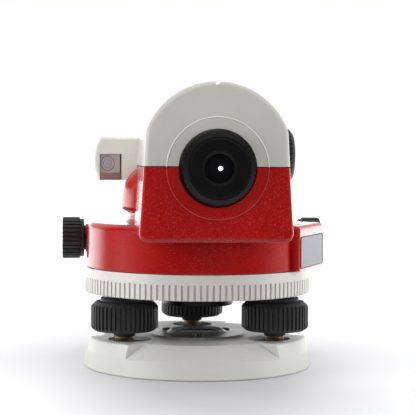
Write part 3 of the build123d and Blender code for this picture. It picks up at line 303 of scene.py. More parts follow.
@dataclass(frozen=True)
class StudioTable(Finish):
    """Matt table top that takes the shadow, adds a painted soft shadow round the object, and turns into the
    white backdrop farther off.

    Its tones change with the distance in metres from the point at Y = middle. The depth counts squeeze times
    in that distance, so the tones lie in ovals that are longer toward the camera and away from it. Mirrors
    see it dark where Y is less than dark_full, and in its own colour again from Y = dark_end.
    """

    cloud_colour: str
    edge_colour: str
    squeeze: float = 0.45
    middle: float = -0.06
    grey_end: float = 0.030
    pale_start: float = 0.085
    white_start: float = 0.600
    pale: float = 0.27
    sweep: float = 2.4
    dark_full: float = -0.30
    dark_end: float = -0.12
    cloud_mm: float = 60.0

    def surface(self, tree: bpy.types.NodeTree, place: bpy.types.NodeSocket) -> dict[str, object]:
        """Painted soft shadow of grey round the object on top of the real one, and white to the camera beyond
        it; mirrors see a dark front and a lit sweep.
        """
        shift = (0.0, -self.squeeze * self.middle, 0.0)
        oval = add_node(
            tree, "ShaderNodeMapping", {"Vector": place, "Location": shift, "Scale": (1.0, self.squeeze, 1.0)},
        )
        reach = add_node(tree, "ShaderNodeVectorMath", {0: oval}, "Value", operation="LENGTH")
        # The glow rises with the distance from the object, so the floor is darker near it: a painted soft
        # shadow.
        near = add_node(tree, RANGE, {0: reach, 1: self.grey_end, 2: self.pale_start, 4: self.pale})
        far = add_node(tree, RANGE, {0: reach, 1: self.pale_start, 2: self.white_start})
        white = add_node(tree, MATH, {0: near, 1: far}, operation="ADD")
        seen = add_node(tree, LIGHT_PATH, out="Is Camera Ray")
        ahead = add_node(tree, "ShaderNodeSeparateXYZ", {0: place}, "Y")
        front = add_node(tree, RANGE, {0: ahead, 1: self.dark_full, 2: self.dark_end, 3: 1.0, 4: 0.0})
        mirrored = add_node(tree, LIGHT_PATH, out="Is Glossy Ray")
        front = add_node(tree, MATH, {0: front, 1: mirrored}, operation="MULTIPLY")
        heading = add_node(tree, "ShaderNodeVectorMath", {0: place}, operation="NORMALIZE")
        sweep = add_node(tree, MATH, {0: sweep_share(tree, heading), 1: self.sweep}, operation="MULTIPLY")
        sweep = add_node(tree, MATH, {0: sweep, 1: white}, operation="MULTIPLY")
        sweep = add_node(tree, MATH, {0: sweep, 1: mirrored}, operation="MULTIPLY")
        glow = add_node(tree, MATH, {0: white, 1: seen}, operation="MULTIPLY")
        cloud = add_node(tree, NOISE, {"Vector": place, "Scale": per_lump(self.cloud_mm)})
        shades = {0: cloud, 6: linear(self.colour), 7: linear(self.cloud_colour)}
        shade = add_node(tree, MIX, shades, 2, data_type="RGBA")
        shades = {0: front, 6: shade, 7: linear(self.edge_colour)}
        return {
            "Base Color": add_node(tree, MIX, shades, 2, data_type="RGBA"),
            "Roughness": 0.6,
            "Emission Color": (1.0, 1.0, 1.0, 1.0),
            "Emission Strength": add_node(tree, MATH, {0: glow, 1: sweep}, operation="ADD"),
        }


# Red enamel baked on the casting: a deep, even red whose orange peel breaks the side lights into grains; its
# many pale specks are painted glints.
RED = GlossEnamel(
    "red_stove_enamel", "#9c0603", "#930503", "#d0605a", roughness=0.17, peel_depth_mm=0.045, glint_speck_share=0.36,
)
# The same red made paler for the bead round the raised ring: a painted highlight along that edge.
RED_PAINTED_HIGHLIGHT = GlossEnamel("red_enamel_painted_highlight", "#b8322c", "#b02c26", "#cc645e", roughness=0.30)
# The grey made nearly white for the same bead above the seam: a painted highlight along that edge.
GREY_PAINTED_HIGHLIGHT = GlossEnamel("grey_enamel_painted_highlight", "#d8d7d1", "#d3d2cb", "#e2e1dc", roughness=0.30)
# Light grey enamel on the cover: a flat warm grey with a soft sheen along the shoulders.
COVER_GREY = GlossEnamel("light_grey_stove_enamel", "#b7b5ae", "#b2b0a9", "#c5c4be")
# The same paint, duller, on the foot: it keeps the ears and the slope readable in soft light.
BASE_GREY = GlossEnamel("base_grey_enamel", "#c4c4be", "#bebeb9", "#cfcec9", roughness=0.42)
# Grey enamel on the turned ring: its knurls read as fine dark lines.
CIRCLE_GREY = GlossEnamel("circle_grey_enamel", "#c5c3be", "#c0beb9", "#d1cfca", roughness=0.40)
# Paler enamel on the level's housing: the whitest paint on the head.
LEVEL_GREY = GlossEnamel("level_pale_enamel", "#dadad2", "#d5d5cd", "#e6e6e0")
# Black enamel on the tribrach: it sinks into the shade under the ring.
TRIBRACH_BLACK = GlossEnamel("black_stove_enamel", "#141313", "#100f0f", "#232222", roughness=0.40)
# Moulded black plastic of the grips: matt, with a faint shine on the ribs.
KNOB_BLACK = TexturedPlastic("black_grip_plastic", "#232223", "#2c2a2b")
# Denser black on the eyepiece: its face stays almost black, only the rim is lit.
EYEPIECE_BLACK = TexturedPlastic("black_eyepiece_plastic", "#060505", "#090808", roughness=0.56, grain_mm=0.25)
# Black line: painted shadow in the gap round the label plate, and painted reflection of the vial's rim and
# circle in the prism.
PAINTED_DARK_LINE = TexturedPlastic("painted_shadow_and_reflection_line", "#121011", "#181516", roughness=0.5)
# Turned brass of the footscrews, dulled by handling: brown gold in the shade.
BRASS = MachinedMetal("turned_brass", "#cbb490", "#6e5c40", roughness=0.38, grain=Grain.TURNED_ON_Z)
# Turned bronze of the bushes: browner and duller than the brass.
BRONZE = MachinedMetal("turned_bronze", "#7a5a36", "#4b3620", roughness=0.32, grain=Grain.TURNED_ON_Z)
# Ground steel of the shafts: cool grey with fine rings.
STEEL = MachinedMetal("ground_steel", "#b4b4b2", "#8b8a87", roughness=0.26, grain=Grain.TURNED_ON_Z)
# Rolled spring steel: a bluish grey sheet.
SPRING_STEEL = MachinedMetal("rolled_spring_steel", "#97989b", "#7c7d80", roughness=0.36, metallic=0.5)
# Zinc-plated screws: small soft glints.
SCREW_STEEL = MachinedMetal("zinc_plated_steel", "#a9a8a3", "#77756e", roughness=0.32)
# Satin aluminium plate, left bare: its own tone is dark, and the white room that it mirrors makes it silver.
LABEL_METAL = MachinedMetal("satin_aluminium_plate", "#505156", "#46474b", 0.38, line_mm=0.3, metallic=0.4)
# Darkened brass under the level: the brown strip below its window.
HOLDER_BRASS = MachinedMetal("darkened_brass", "#a08a7d", "#7c6a5f", roughness=0.45, metallic=0.4)
# Black anodised aluminium: satin black with faint rings from the lathe.
BLACK_ALUMINIUM = MachinedMetal(
    "black_anodised_aluminium", "#121113", "#1b1a1d", 0.42, line_mm=0.2, grain=Grain.TURNED_ON_Y, metallic=0.25,
)
# Bare cut aluminium in the tripod thread: dull grey crests.
CUT_ALUMINIUM = MachinedMetal("cut_aluminium_thread", "#8b8b8a", "#6f6f6e", grain=Grain.TURNED_ON_Z)
# Coated objective glass: clear, with violet reflections.
GLASS = OpticalGlass("coated_optical_glass", "#f4f8f6", "#7a5fb8")
# Eyepiece glass made opaque and nearly black: painted shade for the dark tube behind it; its coating tints what
# it reflects.
EYE_GLASS_PAINTED_SHADE = OpticalGlass("eye_glass_painted_shade", "#121113", "#2c2a38", opaque=True)
# Uncoated glass of the compensator prisms.
PRISM_GLASS = OpticalGlass("uncoated_prism_glass", "#f4f8f6")
# Prism silvered on its slope, made opaque in an even light grey: painted reflection of the vial's mount below
# it.
PRISM_PAINTED_REFLECTION = OpticalGlass("level_prism_painted_reflection", "#aca5a2", opaque=True)
# Spirit-filled vial: a faint yellow-green.
VIAL_GLASS = OpticalGlass("vial_glass_with_spirit", "#dfe7b8", ior=1.45)
# Rubber gasket: a dull black line along the seam.
GASKET = TexturedPlastic("black_gasket_rubber", "#141414", "#262625", roughness=0.78, grain_mm=0.25)
# Painted light: a glowing spot on the eye lens for the sky seen through the telescope.
SKY_PAINTED_GLOW = PaintedGlow("bright_exit_pupil", "#ffffff", "#eef3f8", 1.0)
# Painted reflection of the bubble in the prism, glowing faintly: a pale lilac grey.
BUBBLE_PAINTED_REFLECTION = PaintedGlow("bubble_painted_reflection", "#8f8c9c", "#9d9aa6", 0.12)
# Photographic table: painted soft shadow of grey round the foot on top of the real one, white farther off.
TABLE = StudioTable("matt_white_table", "#c0c1c4", "#c4c5c8", "#1c1c1d")


def mesh_of(
    name: str, points: np.ndarray, faces: np.ndarray, material: bpy.types.Material, smooth: bool = True,
) -> bpy.types.Object:
    """Make one object from whole arrays of points and four-cornered faces.

    Args:
        name: Name of the piece.
        points: Array of shape (count, 3), in metres.
        faces: Array of shape (count, 4) of point numbers, seen anticlockwise from outside.
        material: Finish of the piece.
        smooth: Whether its faces are shaded smooth.

    Returns:
        The object, linked to the scene, at the origin.
    """
    mesh = bpy.data.meshes.new(name)
    mesh.vertices.add(len(points))
    mesh.vertices.foreach_set("co", np.ascontiguousarray(points, dtype=np.float32).ravel())
    mesh.loops.add(faces.size)
    mesh.loops.foreach_set("vertex_index", np.ascontiguousarray(faces, dtype=np.int32).ravel())
    mesh.polygons.add(len(faces))
    mesh.polygons.foreach_set("loop_start", np.arange(0, faces.size, 4, dtype=np.int32))
    mesh.polygons.foreach_set("loop_total", np.full(len(faces), 4, dtype=np.int32))
    mesh.update(calc_edges=True)
    mesh.polygons.foreach_set("use_smooth", np.full(len(faces), smooth))
    mesh.validate()
    mesh.materials.append(material)
    piece = bpy.data.objects.new(name, mesh)
    bpy.context.scene.collection.objects.link(piece)
    return piece


def grid_faces(rows: int, columns: int, close_rows: bool, close_columns: bool) -> np.ndarray:
    """Faces of a grid of points with rows and columns, joined end to end where asked."""
    row = np.arange(rows if close_rows else rows - 1)[:, None]
    column = np.arange(columns if close_columns else columns - 1)[None, :]
    next_row = (row + 1) % rows
    next_column = (column + 1) % columns
    corners = [
        row * columns + column, next_row * columns + column,
        next_row * columns + next_column, row * columns + next_column,
    ]
    return np.stack(corners, axis=-1).reshape(-1, 4)


def helix_ridge(
    radius: float, depth: float, pitch: float, low: float, high: float, steps: int,
) -> tuple[np.ndarray, np.ndarray]:
    """Thread ridge that stands inward from a bore about Z.

    The ridge's section has a wide base just behind the bore and a narrow crest, depth inside it. It climbs by
    one pitch each turn: the point at angle a is ((r - d) cos a, (r - d) sin a, low + pitch / 2 + pitch a / 2 pi
    + h), with d and h from the section. Both ends taper into the bore.

    Args:
        radius: Radius of the bore.
        depth: How far the crest stands in.
        pitch: Rise of one turn.
        low: Height at which the ridge starts.
        high: Height at which it ends.
        steps: Steps in each turn.

    Returns:
        Points and faces.
    """
    turns = (high - low) / pitch - 1.0
    count = int(turns * steps)
    angle = np.linspace(0.0, 2.0 * np.pi * turns, count)[:, None]
    taper = np.clip(np.minimum(angle, angle[-1] - angle) / THREAD_TAPER, THREAD_TIP, 1.0)
    section = np.array(THREAD_SECTION)
    inward = section[None, :, 0] * depth * taper
    height = section[None, :, 1] * pitch * taper
    reach = radius - inward
    grid = np.stack([
        reach * np.cos(angle), reach * np.sin(angle),
        low + pitch / 2 + pitch * angle / (2.0 * np.pi) + height,
    ], axis=-1)
    faces = grid_faces(count, 4, False, True)[:, ::-1]
    ends = np.array([(0, 1, 2, 3), (4 * count - 1, 4 * count - 2, 4 * count - 3, 4 * count - 4)])
    return grid.reshape(-1, 3), np.vstack([faces, ends])


def outline_cord(
    frame_of: Matrix, half_width: float, half_height: float, power: float, thickness: float, steps: int,
) -> tuple[np.ndarray, np.ndarray]:
    """Thin round cord laid along a superellipse in a plane.

    The line's point at angle a is (w sgn(cos a) |cos a|^(2/n), h sgn(sin a) |sin a|^(2/n), 0): an ellipse
    for n = 2 and nearer to a rectangle as n grows. Round it, a circle of the cord's half thickness is drawn
    in the plane of the line's sideways direction and the outward one.

    Args:
        frame_of: Matrix whose first two directions span the plane and whose third looks outward.
        half_width: Half width w of the line.
        half_height: Half height h of the line.
        power: The power n.
        thickness: Thickness of the cord.
        steps: Steps along the line.

    Returns:
        Points and faces.
    """
    angle = np.linspace(0.0, 2.0 * np.pi, steps, endpoint=False)
    cosine, sine = np.cos(angle), np.sin(angle)
    line = np.stack([
        half_width * np.sign(cosine) * np.abs(cosine) ** (2.0 / power),
        half_height * np.sign(sine) * np.abs(sine) ** (2.0 / power),
    ], axis=-1)
    run = np.roll(line, -1, axis=0) - np.roll(line, 1, axis=0)
    run /= np.linalg.norm(run, axis=1, keepdims=True)
    side = np.stack([run[:, 1], -run[:, 0]], axis=-1)
    turn = np.linspace(0.0, 2.0 * np.pi, CORD_SIDES, endpoint=False)
    flat = line[:, None, :] + 0.5 * thickness * np.cos(turn)[None, :, None] * side[:, None, :]
    rise = np.broadcast_to(0.5 * thickness * np.sin(turn)[None, :, None], (steps, CORD_SIDES, 1))
    points = np.concatenate([flat, rise], axis=-1).reshape(-1, 3)
    return placed(points, frame_of), grid_faces(steps, CORD_SIDES, True, True)


def pebble(
    frame_of: Matrix, half_width: float, half_height: float, rise: float, cells: int,
) -> tuple[np.ndarray, np.ndarray]:
    """Thin round or oval drop, bulged on both faces, without a pole.

    A square grid u, v from -1 to 1 becomes a disc by x = u sqrt(1 - v v / 2), y = v sqrt(1 - u u / 2); its
    height is plus and minus rise (1 - x x - y y), and both faces share the rim.

    Args:
        frame_of: Matrix whose first two directions span the plane and whose third looks outward.
        half_width: Half width of the disc.
        half_height: Half height of the disc.
        rise: How far each face stands out in the middle.
        cells: Cells along one side of the grid.

    Returns:
        Points and faces.
    """
    side = np.linspace(-1.0, 1.0, cells + 1)
    across, up = np.meshgrid(side, side, indexing="ij")
    x = across * np.sqrt(1.0 - up * up / 2.0)
    y = up * np.sqrt(1.0 - across * across / 2.0)
    height = rise * np.clip(1.0 - x * x - y * y, 0.0, None)
    front = np.stack([x * half_width, y * half_height, height], axis=-1).reshape(-1, 3)
    back = front * (1.0, 1.0, -1.0)
    # Points off the rim get a twin on the back
    inside = (np.maximum(np.abs(across), np.abs(up)) < 0.999).ravel()
    number = np.arange(len(front))
    number[inside] = len(front) + np.arange(inside.sum())
    faces = grid_faces(cells + 1, cells + 1, False, False)
    return placed(np.vstack([front, back[inside]]), frame_of), np.vstack([faces, number[faces][:, ::-1]])


def arc_bead(
    frame_of: Matrix, radius: float, start: float, end: float, thickness: float, steps: int,
) -> tuple[np.ndarray, np.ndarray]:
    """Thin round bead along an arc of a circle in a plane.

    The arc's point at angle a is (r cos a, r sin a, 0). Round it, a circle of the bead's half thickness is
    drawn in the plane of the radial direction and the outward one. Four-sided faces close both ends.

    Args:
        frame_of: Matrix whose first two directions span the plane and whose third looks outward.
        radius: Radius r of the arc.
        start: Angle of its start.
        end: Angle of its end.
        thickness: Half thickness of the bead.
        steps: Points along the arc.

    Returns:
        Points and faces.
    """
    angle = np.linspace(start, end, steps)[:, None]
    turn = np.linspace(0.0, 2.0 * np.pi, CORD_SIDES, endpoint=False)[None, :]
    reach = radius + thickness * np.cos(turn)
    rise = np.broadcast_to(thickness * np.sin(turn), (steps, CORD_SIDES))
    points = np.stack([reach * np.cos(angle), reach * np.sin(angle), rise], axis=-1).reshape(-1, 3)
    cap = np.array([(0, 1, 2, 7), (7, 2, 3, 6), (6, 3, 4, 5)])
    last = cap[:, ::-1] + CORD_SIDES * (steps - 1)
    faces = np.concatenate([grid_faces(steps, CORD_SIDES, False, True), cap, last])
    return placed(points, frame_of), faces


def bar(frame_of: Matrix, half: Sequence[float]) -> tuple[np.ndarray, np.ndarray]:
    """Straight bar: the eight corners are the half sizes times every choice of signs.

    Args:
        frame_of: Matrix whose first two directions span the plane and whose third looks outward.
        half: Half sizes along the three directions.

    Returns:
        Points and faces.
    """
    signs = np.array([
        (-1, -1, -1), (1, -1, -1), (1, 1, -1), (-1, 1, -1), (-1, -1, 1), (1, -1, 1), (1, 1, 1), (-1, 1, 1),
    ], float)
    faces = np.array([(0, 3, 2, 1), (4, 5, 6, 7), (0, 1, 5, 4), (1, 2, 6, 5), (2, 3, 7, 6), (3, 0, 4, 7)])
    return placed(signs * np.array(half), frame_of), faces


def placed(points: np.ndarray, frame_of: Matrix) -> np.ndarray:
    """Carry points from a piece's own plane into the shared frame."""
    matrix = np.array(frame_of)
    return points @ matrix[:3, :3].T + matrix[:3, 3]


def plane_at(origin: Sequence[float], across: Sequence[float], up: Sequence[float]) -> Matrix:
    """Matrix of a plane with its origin, its two directions and the outward one.

    Args:
        origin: A point of the plane.
        across: Direction of its width.
        up: Direction of its height; across times up looks outward.

    Returns:
        The four by four matrix.
    """
    across_dir = Vector(across).normalized()
    up_dir = Vector(up).normalized()
    matrix = Matrix((across_dir, up_dir, across_dir.cross(up_dir))).transposed().to_4x4()
    matrix.translation = Vector(origin)
    return matrix


@dataclass
class SubAssembly:
    """Pieces that are dressed together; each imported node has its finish."""

    finishes: dict[str, Finish] = field(default_factory=dict)

    def dress(self, stock: "FinishStock") -> None:
        """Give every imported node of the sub-assembly its material."""
        for node, finish in self.finishes.items():
            stock.dress(node, finish)

    def build(self, stock: "FinishStock") -> None:
        """Make the sub-assembly's fine pieces; the plain ones have none."""


class FinishStock:
    """Builds each finish once and puts it on nodes and pieces."""

    def __init__(self) -> None:
        """Start with no material built."""
        self.built: dict[str, bpy.types.Material] = {}

    def material(self, finish: Finish) -> bpy.types.Material:
        """Return the finish's material, made when first asked for."""
        if finish.name not in self.built:
            self.built[finish.name] = finish.build()
        return self.built[finish.name]

    def dress(self, node: str, finish: Finish) -> None:
        """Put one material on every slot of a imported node."""
        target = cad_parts[node]
        material = self.material(finish)
        if not target.material_slots:
            target.data.materials.append(material)
        for slot in target.material_slots:
            slot.material = material
        LOG.info("dressed %s in %s", node, finish.name)

    def add(
        self, name: str, shape: tuple[np.ndarray, np.ndarray], finish: Finish, body: str, slot: str,
    ) -> bpy.types.Object:
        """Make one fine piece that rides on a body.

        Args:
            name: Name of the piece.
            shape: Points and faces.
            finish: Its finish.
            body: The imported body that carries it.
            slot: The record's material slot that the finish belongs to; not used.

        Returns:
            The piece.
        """
        piece = mesh_of(name, *shape, self.material(finish))
        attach(piece, body)
        LOG.info("made %s, %d faces, on %s", name, len(shape[1]), body)
        return piece


@dataclass
class Foot(SubAssembly):
    """Base plate with its spring plate and the tripod thread."""

    thread_radius: float = 7.94 * MM
    thread_depth: float = 1.15 * MM
    thread_pitch: float = 25.4 / 11.0 * MM
    thread_bottom: float = 0.4 * MM
    thread_top: float = 10.6 * MM
    steps_per_turn: int = 72

    def __post_init__(self) -> None:
        """List the finish of each node."""
        self.finishes = {
            "base_plate": BASE_GREY, "spring_plate": SPRING_STEEL, "spring_plate_screws": SCREW_STEEL,
            "ball_retainers": BLACK_ALUMINIUM,
        }

    def build(self, stock: FinishStock) -> None:
        """Cut the look of the tripod thread into the centre hole."""
        shape = helix_ridge(
            self.thread_radius, self.thread_depth, self.thread_pitch, self.thread_bottom, self.thread_top,
            self.steps_per_turn,
        )
        stock.add("tripod_thread_ridge", shape, CUT_ALUMINIUM, "base", "base_enamel")


@dataclass
class Footscrews(SubAssembly):
    """Three brass footscrews with their black knobs."""

    names: tuple[str, ...] = ("left", "right", "front")

    def __post_init__(self) -> None:
        """List the finish of each node."""
        for name in self.names:
            self.finishes[f"footscrew_{name}_spindle"] = BRASS
            self.finishes[f"footscrew_{name}_knob"] = KNOB_BLACK


@dataclass
class TurningCentre(SubAssembly):
    """Tribrach, horizontal circle, friction wheel and cross shaft."""

    def __post_init__(self) -> None:
        """List the finish of each node."""
        self.finishes = {
            "tribrach_body": TRIBRACH_BLACK, "footscrew_bushes": BRONZE, "axis_bush": BRONZE,
            "circle_friction_washer": SPRING_STEEL, "circle_retaining_ring": BLACK_ALUMINIUM,
            "horizontal_circle": CIRCLE_GREY, "worm_wheel": BRONZE, "clutch_washer": SPRING_STEEL,
            "clutch_nut": SCREW_STEEL, "drive_worm": STEEL, "drive_knob_left": KNOB_BLACK,
            "drive_knob_right": KNOB_BLACK, "drive_bushes": BLACK_ALUMINIUM, "axis_spindle": STEEL,
            "spindle_screws": SCREW_STEEL,
        }


@dataclass
class TelescopeBody(SubAssembly):
    """Red housing, grey cover, gasket and the bare label plate with a painted shadow as its dark outline.

    Two bars on each side of the eyepiece fill the seam between housing and cover: one behind the raised ring's
    face, and one in the rear wall, where light would come through the slit. A thin bead in paler paint rounds
    the raised ring: a painted highlight along its edge.
    """

    lobe_rear: tuple[float, float] = (47.2 * MM, -40.2 * MM)
    lobe_front: tuple[float, float] = (68.3 * MM, 4.2 * MM)
    label_middle_z: float = 61.1 * MM
    label_half: tuple[float, float] = (22.95 * MM, 7.9 * MM)
    plate_rise: float = 0.24 * MM
    line_thickness: float = 0.34 * MM
    line_power: float = 18.0
    line_steps: int = 320
    gasket_end: tuple[float, float, float] = (22.2 * MM, -82.6 * MM, 104.5 * MM)
    gasket_half: tuple[float, float, float] = (3.7 * MM, 0.19 * MM, 1.8 * MM)
    gasket_wall: tuple[float, float, float] = (20.4 * MM, -75.9 * MM, 104.5 * MM)
    gasket_wall_half: tuple[float, float, float] = (5.5 * MM, 0.19 * MM, 1.55 * MM)
    halo_radius: float = 23.85 * MM
    halo_face: tuple[float, float, float] = (0.0, -84.68 * MM, 103.8 * MM)
    halo_bead: float = 0.30 * MM
    halo_steps: int = 160
    seam_rise: float = 0.7 * MM

    def __post_init__(self) -> None:
        """List the finish of each node."""
        self.finishes = {
            "main_housing": RED, "top_cover": COVER_GREY, "housing_seal": GASKET, "cover_screws": SCREW_STEEL,
            "label_plate": LABEL_METAL,
        }

    def build(self, stock: FinishStock) -> None:
        """Paint the shadow round the bare plate as a dark outline, close the gasket beside the eyepiece and
        round the raised ring's edge with a painted highlight.
        """
        rear, front = Vector(self.lobe_rear), Vector(self.lobe_front)
        middle = (rear + front) / 2.0
        run = front - rear
        outward = Vector((run.y, -run.x)).normalized()
        foot = middle + outward * self.plate_rise
        plane = plane_at((foot.x, foot.y, self.label_middle_z), (run.x, run.y, 0.0), UP)
        # Painted shadow: a black cord round the plate where the gap beside it lies in shade.
        shape = outline_cord(plane, *self.label_half, self.line_power, self.line_thickness, self.line_steps)
        stock.add("label_painted_shadow", shape, PAINTED_DARK_LINE, "head", "label_aluminium")
        for side, word in ((-1.0, "left"), (1.0, "right")):
            for kind, place, half in (
                ("end", self.gasket_end, self.gasket_half), ("wall", self.gasket_wall, self.gasket_wall_half),
            ):
                plane = plane_at((side * place[0], place[1], place[2]), ACROSS, UP)
                stock.add(f"gasket_{kind}_{word}", bar(plane, half), GASKET, "head", "seal_rubber")
        # Painted highlight: paler beads along the raised ring's edge, grey above the seam and red below it.
        plane = plane_at(self.halo_face, ACROSS, UP)
        seam = math.asin(self.seam_rise / self.halo_radius)
        for name, start, end, finish, slot in (
            ("halo_painted_highlight_upper", seam, math.pi - seam, GREY_PAINTED_HIGHLIGHT, "cover_enamel"),
            ("halo_painted_highlight_lower", math.pi - seam, 2.0 * math.pi + seam, RED_PAINTED_HIGHLIGHT, "housing_enamel"),
        ):
            shape = arc_bead(plane, self.halo_radius, start, end, self.halo_bead, self.halo_steps)
            stock.add(name, shape, finish, "head", slot)


@dataclass
class Objective(SubAssembly):
    """Objective cell with its glass."""

    def __post_init__(self) -> None:
        """List the finish of each node."""
        self.finishes = {
            "objective_cell": BLACK_ALUMINIUM, "objective_crown": GLASS, "objective_flint": GLASS,
            "objective_retaining_ring": BLACK_ALUMINIUM,
        }


@dataclass
class Focusing(SubAssembly):
    """Focusing knob, pinion, rack and sliding lens."""

    def __post_init__(self) -> None:
        """List the finish of each node."""
        self.finishes = {
            "focusing_guide": BLACK_ALUMINIUM, "focusing_cell": BRASS, "focusing_lens": GLASS,
            "focusing_pinion": STEEL, "focusing_bush": BRONZE, "focusing_knob": KNOB_BLACK,
        }


@dataclass
class Compensator(SubAssembly):
    """Hanging prism between two fixed ones."""

    def __post_init__(self) -> None:
        """List the finish of each node."""
        self.finishes = {
            "compensator_frame": BLACK_ALUMINIUM, "fixed_prisms": PRISM_GLASS, "pendulum_frame": BRASS,
            "pendulum_prism": PRISM_GLASS, "suspension_ribbons": SPRING_STEEL,
        }


@dataclass
class Eyepiece(SubAssembly):
    """Eyepiece with its knurled ring, the reticle glass and a painted glow for the bright exit pupil."""

    axis_z: float = 103.8 * MM
    pupil_y: float = -88.95 * MM
    pupil_x: float = 0.66 * MM
    pupil_radius: float = 1.1 * MM
    pupil_rise: float = 0.06 * MM

    def __post_init__(self) -> None:
        """List the finish of each node."""
        self.finishes = {
            "eyepiece_sleeve": BLACK_ALUMINIUM, "reticle_screws": SCREW_STEEL,
            "reticle_mount": BLACK_ALUMINIUM, "reticle_glass": GLASS, "eyepiece_barrel": BLACK_ALUMINIUM,
            "eye_lens": EYE_GLASS_PAINTED_SHADE, "field_lens": EYE_GLASS_PAINTED_SHADE, "dioptre_ring": EYEPIECE_BLACK,
        }

    def build(self, stock: FinishStock) -> None:
        """Lay a painted glow for the bright exit pupil on the eye lens."""
        plane = plane_at((self.pupil_x, self.pupil_y, self.axis_z), ACROSS, UP)
        shape = pebble(plane, self.pupil_radius, self.pupil_radius, self.pupil_rise, DROP_CELLS)
        stock.add("exit_pupil_painted_glow", shape, SKY_PAINTED_GLOW, "eyepiece_cell", "optical_glass")


@dataclass
class CircularLevel(SubAssembly):
    """Circular level in its bracket, with the prism that shows it to the observer."""

    image_centre: tuple[float, float, float] = (-47.7 * MM, -2.42 * MM, 105.6 * MM)
    ring_half: tuple[float, float] = (3.45 * MM, 3.75 * MM)
    bubble_half: tuple[float, float] = (1.5 * MM, 1.65 * MM)
    bubble_rise: float = 0.08 * MM
    rim_thickness: float = 0.24 * MM
    circle_share: float = 0.62
    circle_thickness: float = 0.1 * MM
    rim_steps: int = 96
    circle_steps: int = 72

    def __post_init__(self) -> None:
        """List the finish of each node."""
        self.finishes = {
            "level_bracket": LEVEL_GREY, "level_vial_holder": HOLDER_BRASS, "level_vial": VIAL_GLASS,
            "level_prism": PRISM_PAINTED_REFLECTION, "level_adjusting_screws": SCREW_STEEL,
        }

    def build(self, stock: FinishStock) -> None:
        """Lay painted reflections of the vial's rim, its circle and the bubble on the prism's face."""
        plane = plane_at(self.image_centre, ACROSS, UP)
        rim = outline_cord(plane, *self.ring_half, ELLIPSE, self.rim_thickness, self.rim_steps)
        stock.add("vial_rim_painted_reflection", rim, PAINTED_DARK_LINE, "head", "vial_glass")
        half = [self.circle_share * size for size in self.ring_half]
        circle = outline_cord(plane, *half, ELLIPSE, self.circle_thickness, self.circle_steps)
        stock.add("level_circle_painted_reflection", circle, PAINTED_DARK_LINE, "head", "vial_glass")
        bubble = pebble(plane, *self.bubble_half, self.bubble_rise, DROP_CELLS)
        stock.add("bubble_painted_reflection", bubble, BUBBLE_PAINTED_REFLECTION, "head", "vial_glass")


@dataclass(frozen=True)
class Softbox:
    """One square lamp that looks at a point."""

    name: str
    place: tuple[float, float, float]
    side: float
    power: float
    target: tuple[float, float, float] = (0.0, 0.0, 0.07)

    def hang(self) -> None:
        """Make the lamp; what glossy surfaces mirror is the room, so the lamp leaves no image in them."""
        light = bpy.data.lights.new(self.name, "AREA")
        light.shape = "SQUARE"
        light.size = self.side
        light.energy = self.power
        holder = bpy.data.objects.new(self.name, light)
        bpy.context.scene.collection.objects.link(holder)
        holder.location = self.place
        holder.visible_glossy = False
        aim = Vector(self.target) - Vector(self.place)
        holder.rotation_mode = "QUATERNION"
        holder.rotation_quaternion = aim.to_track_quat("-Z", "Y")


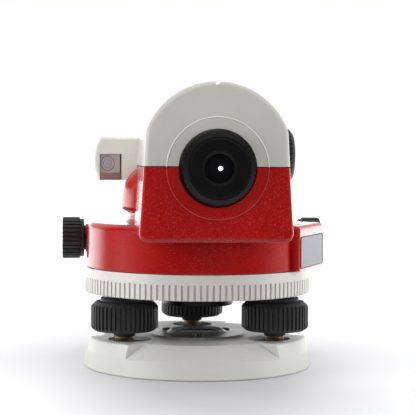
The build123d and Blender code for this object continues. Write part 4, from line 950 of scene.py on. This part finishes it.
@dataclass
class Studio:
    """Pale table and backdrop, soft lamps and the photograph's camera.

    The camera sees the room white. Mirrors and glass see a bright wall behind the object, wings at both sides
    and a ceiling. Every other surface gets the even fill.
    """

    azimuth: float = -6.26
    distance: float = 0.700
    eye_height: float = 0.1078
    pitch: float = 2.06
    yaw: float = 0.414
    roll: float = 0.4
    focal_px: float = 1329.0
    sensor_mm: float = 36.0
    clip_start: float = 0.01
    clip_end: float = 50.0
    floor_reach: float = 6.0
    fill: float = 0.34
    backdrop: float = 3.0
    side_start: float = 0.93
    side_full: float = 0.98
    side: float = 0.4
    dark: float = 0.03
    ceiling_start: float = 0.50
    ceiling_full: float = 0.85
    ceiling: float = 0.5
    lamps: tuple[Softbox, ...] = (
        Softbox("top_softbox", (0.0, -0.15, 1.25), 1.2, 10.5),
        Softbox("left_softbox", (-1.05, -0.30, 0.30), 0.8, 12.5),
        Softbox("right_softbox", (1.05, -0.25, 0.30), 0.8, 11.0),
        Softbox("front_softbox", (0.22, -1.40, 0.16), 0.9, 3.4),
    )

    def set_light(self) -> None:
        """Hang the lamps and make a room that is white behind the object and dim behind the camera."""
        for lamp in self.lamps:
            lamp.hang()
        world = bpy.data.worlds.new("studio_room")
        bpy.context.scene.world = world
        world.use_nodes = True
        tree = world.node_tree
        tree.nodes.clear()
        direction = add_node(tree, "ShaderNodeTexCoord", out="Generated")
        wall = add_node(tree, RANGE, {0: sweep_share(tree, direction), 3: self.dark, 4: self.backdrop})
        sideways = add_node(tree, "ShaderNodeSeparateXYZ", {0: direction}, "X")
        sideways = add_node(tree, MATH, {0: sideways}, operation="ABSOLUTE")
        wings = add_node(tree, RANGE, {0: sideways, 1: self.side_start, 2: self.side_full, 4: self.side})
        upward = add_node(tree, "ShaderNodeSeparateXYZ", {0: direction}, "Z")
        roof = add_node(tree, RANGE, {0: upward, 1: self.ceiling_start, 2: self.ceiling_full, 4: self.ceiling})
        room = add_node(tree, MATH, {0: wall, 1: wings}, operation="ADD")
        room = add_node(tree, MATH, {0: room, 1: roof}, operation="ADD")
        mirrored = add_node(tree, MATH, {
            0: add_node(tree, LIGHT_PATH, out="Is Glossy Ray"),
            1: add_node(tree, LIGHT_PATH, out="Is Transmission Ray"),
        }, operation="MAXIMUM")
        strength = add_node(tree, MIX, {0: mirrored, 2: self.fill, 3: room}, data_type="FLOAT")
        strength = add_node(tree, MATH, {
            0: add_node(tree, LIGHT_PATH, out="Is Camera Ray"), 1: strength,
        }, operation="MAXIMUM")
        shade = add_node(tree, "ShaderNodeBackground", {"Color": (1, 1, 1, 1), "Strength": strength})
        add_node(tree, "ShaderNodeOutputWorld", {"Surface": shade})

    def lay_floor(self, stock: FinishStock) -> None:
        """Lay a wide pale floor that keeps the object's shadow."""
        reach = self.floor_reach
        points = np.array([(-reach, -reach, 0), (reach, -reach, 0), (reach, reach, 0), (-reach, reach, 0)])
        floor = mesh_of("floor", points, np.array([(0, 1, 2, 3)]), stock.material(TABLE), False)

    def set_camera(self) -> None:
        """Stand the camera where the photograph was taken."""
        turn = math.radians(self.azimuth)
        place = Vector((self.distance * math.sin(turn), -self.distance * math.cos(turn), self.eye_height))
        heading = -turn + math.radians(self.yaw)
        tilt = math.radians(self.pitch)
        forward = Vector((
            math.sin(heading) * math.cos(tilt), math.cos(heading) * math.cos(tilt), -math.sin(tilt),
        ))
        camera = bpy.data.cameras.new("camera")
        camera.sensor_width = self.sensor_mm
        camera.lens = self.focal_px * self.sensor_mm / PHOTO_SIDE
        camera.clip_start = self.clip_start
        camera.clip_end = self.clip_end
        holder = bpy.data.objects.new("camera", camera)
        bpy.context.scene.collection.objects.link(holder)
        holder.location = place
        holder.rotation_mode = "QUATERNION"
        aim = forward.to_track_quat("-Z", "Y")
        holder.rotation_quaternion = aim @ Quaternion((0, 0, 1), math.radians(self.roll))
        bpy.context.scene.camera = holder


def main() -> None:
    """Dress the frame, add the fine pieces and set the studio."""
    logging.basicConfig(level=logging.INFO, format="%(message)s")
    bpy.context.scene.view_settings.view_transform = "Standard"
    stock = FinishStock()
    assemblies: list[SubAssembly] = [
        Foot(), Footscrews(), TurningCentre(), TelescopeBody(), Objective(), Focusing(), Compensator(),
        Eyepiece(), CircularLevel(),
    ]
    for assembly in assemblies:
        assembly.dress(stock)
        assembly.build(stock)
    studio = Studio()
    studio.set_light()
    studio.lay_floor(stock)
    studio.set_camera()


if __name__ == "__main__":
    main()
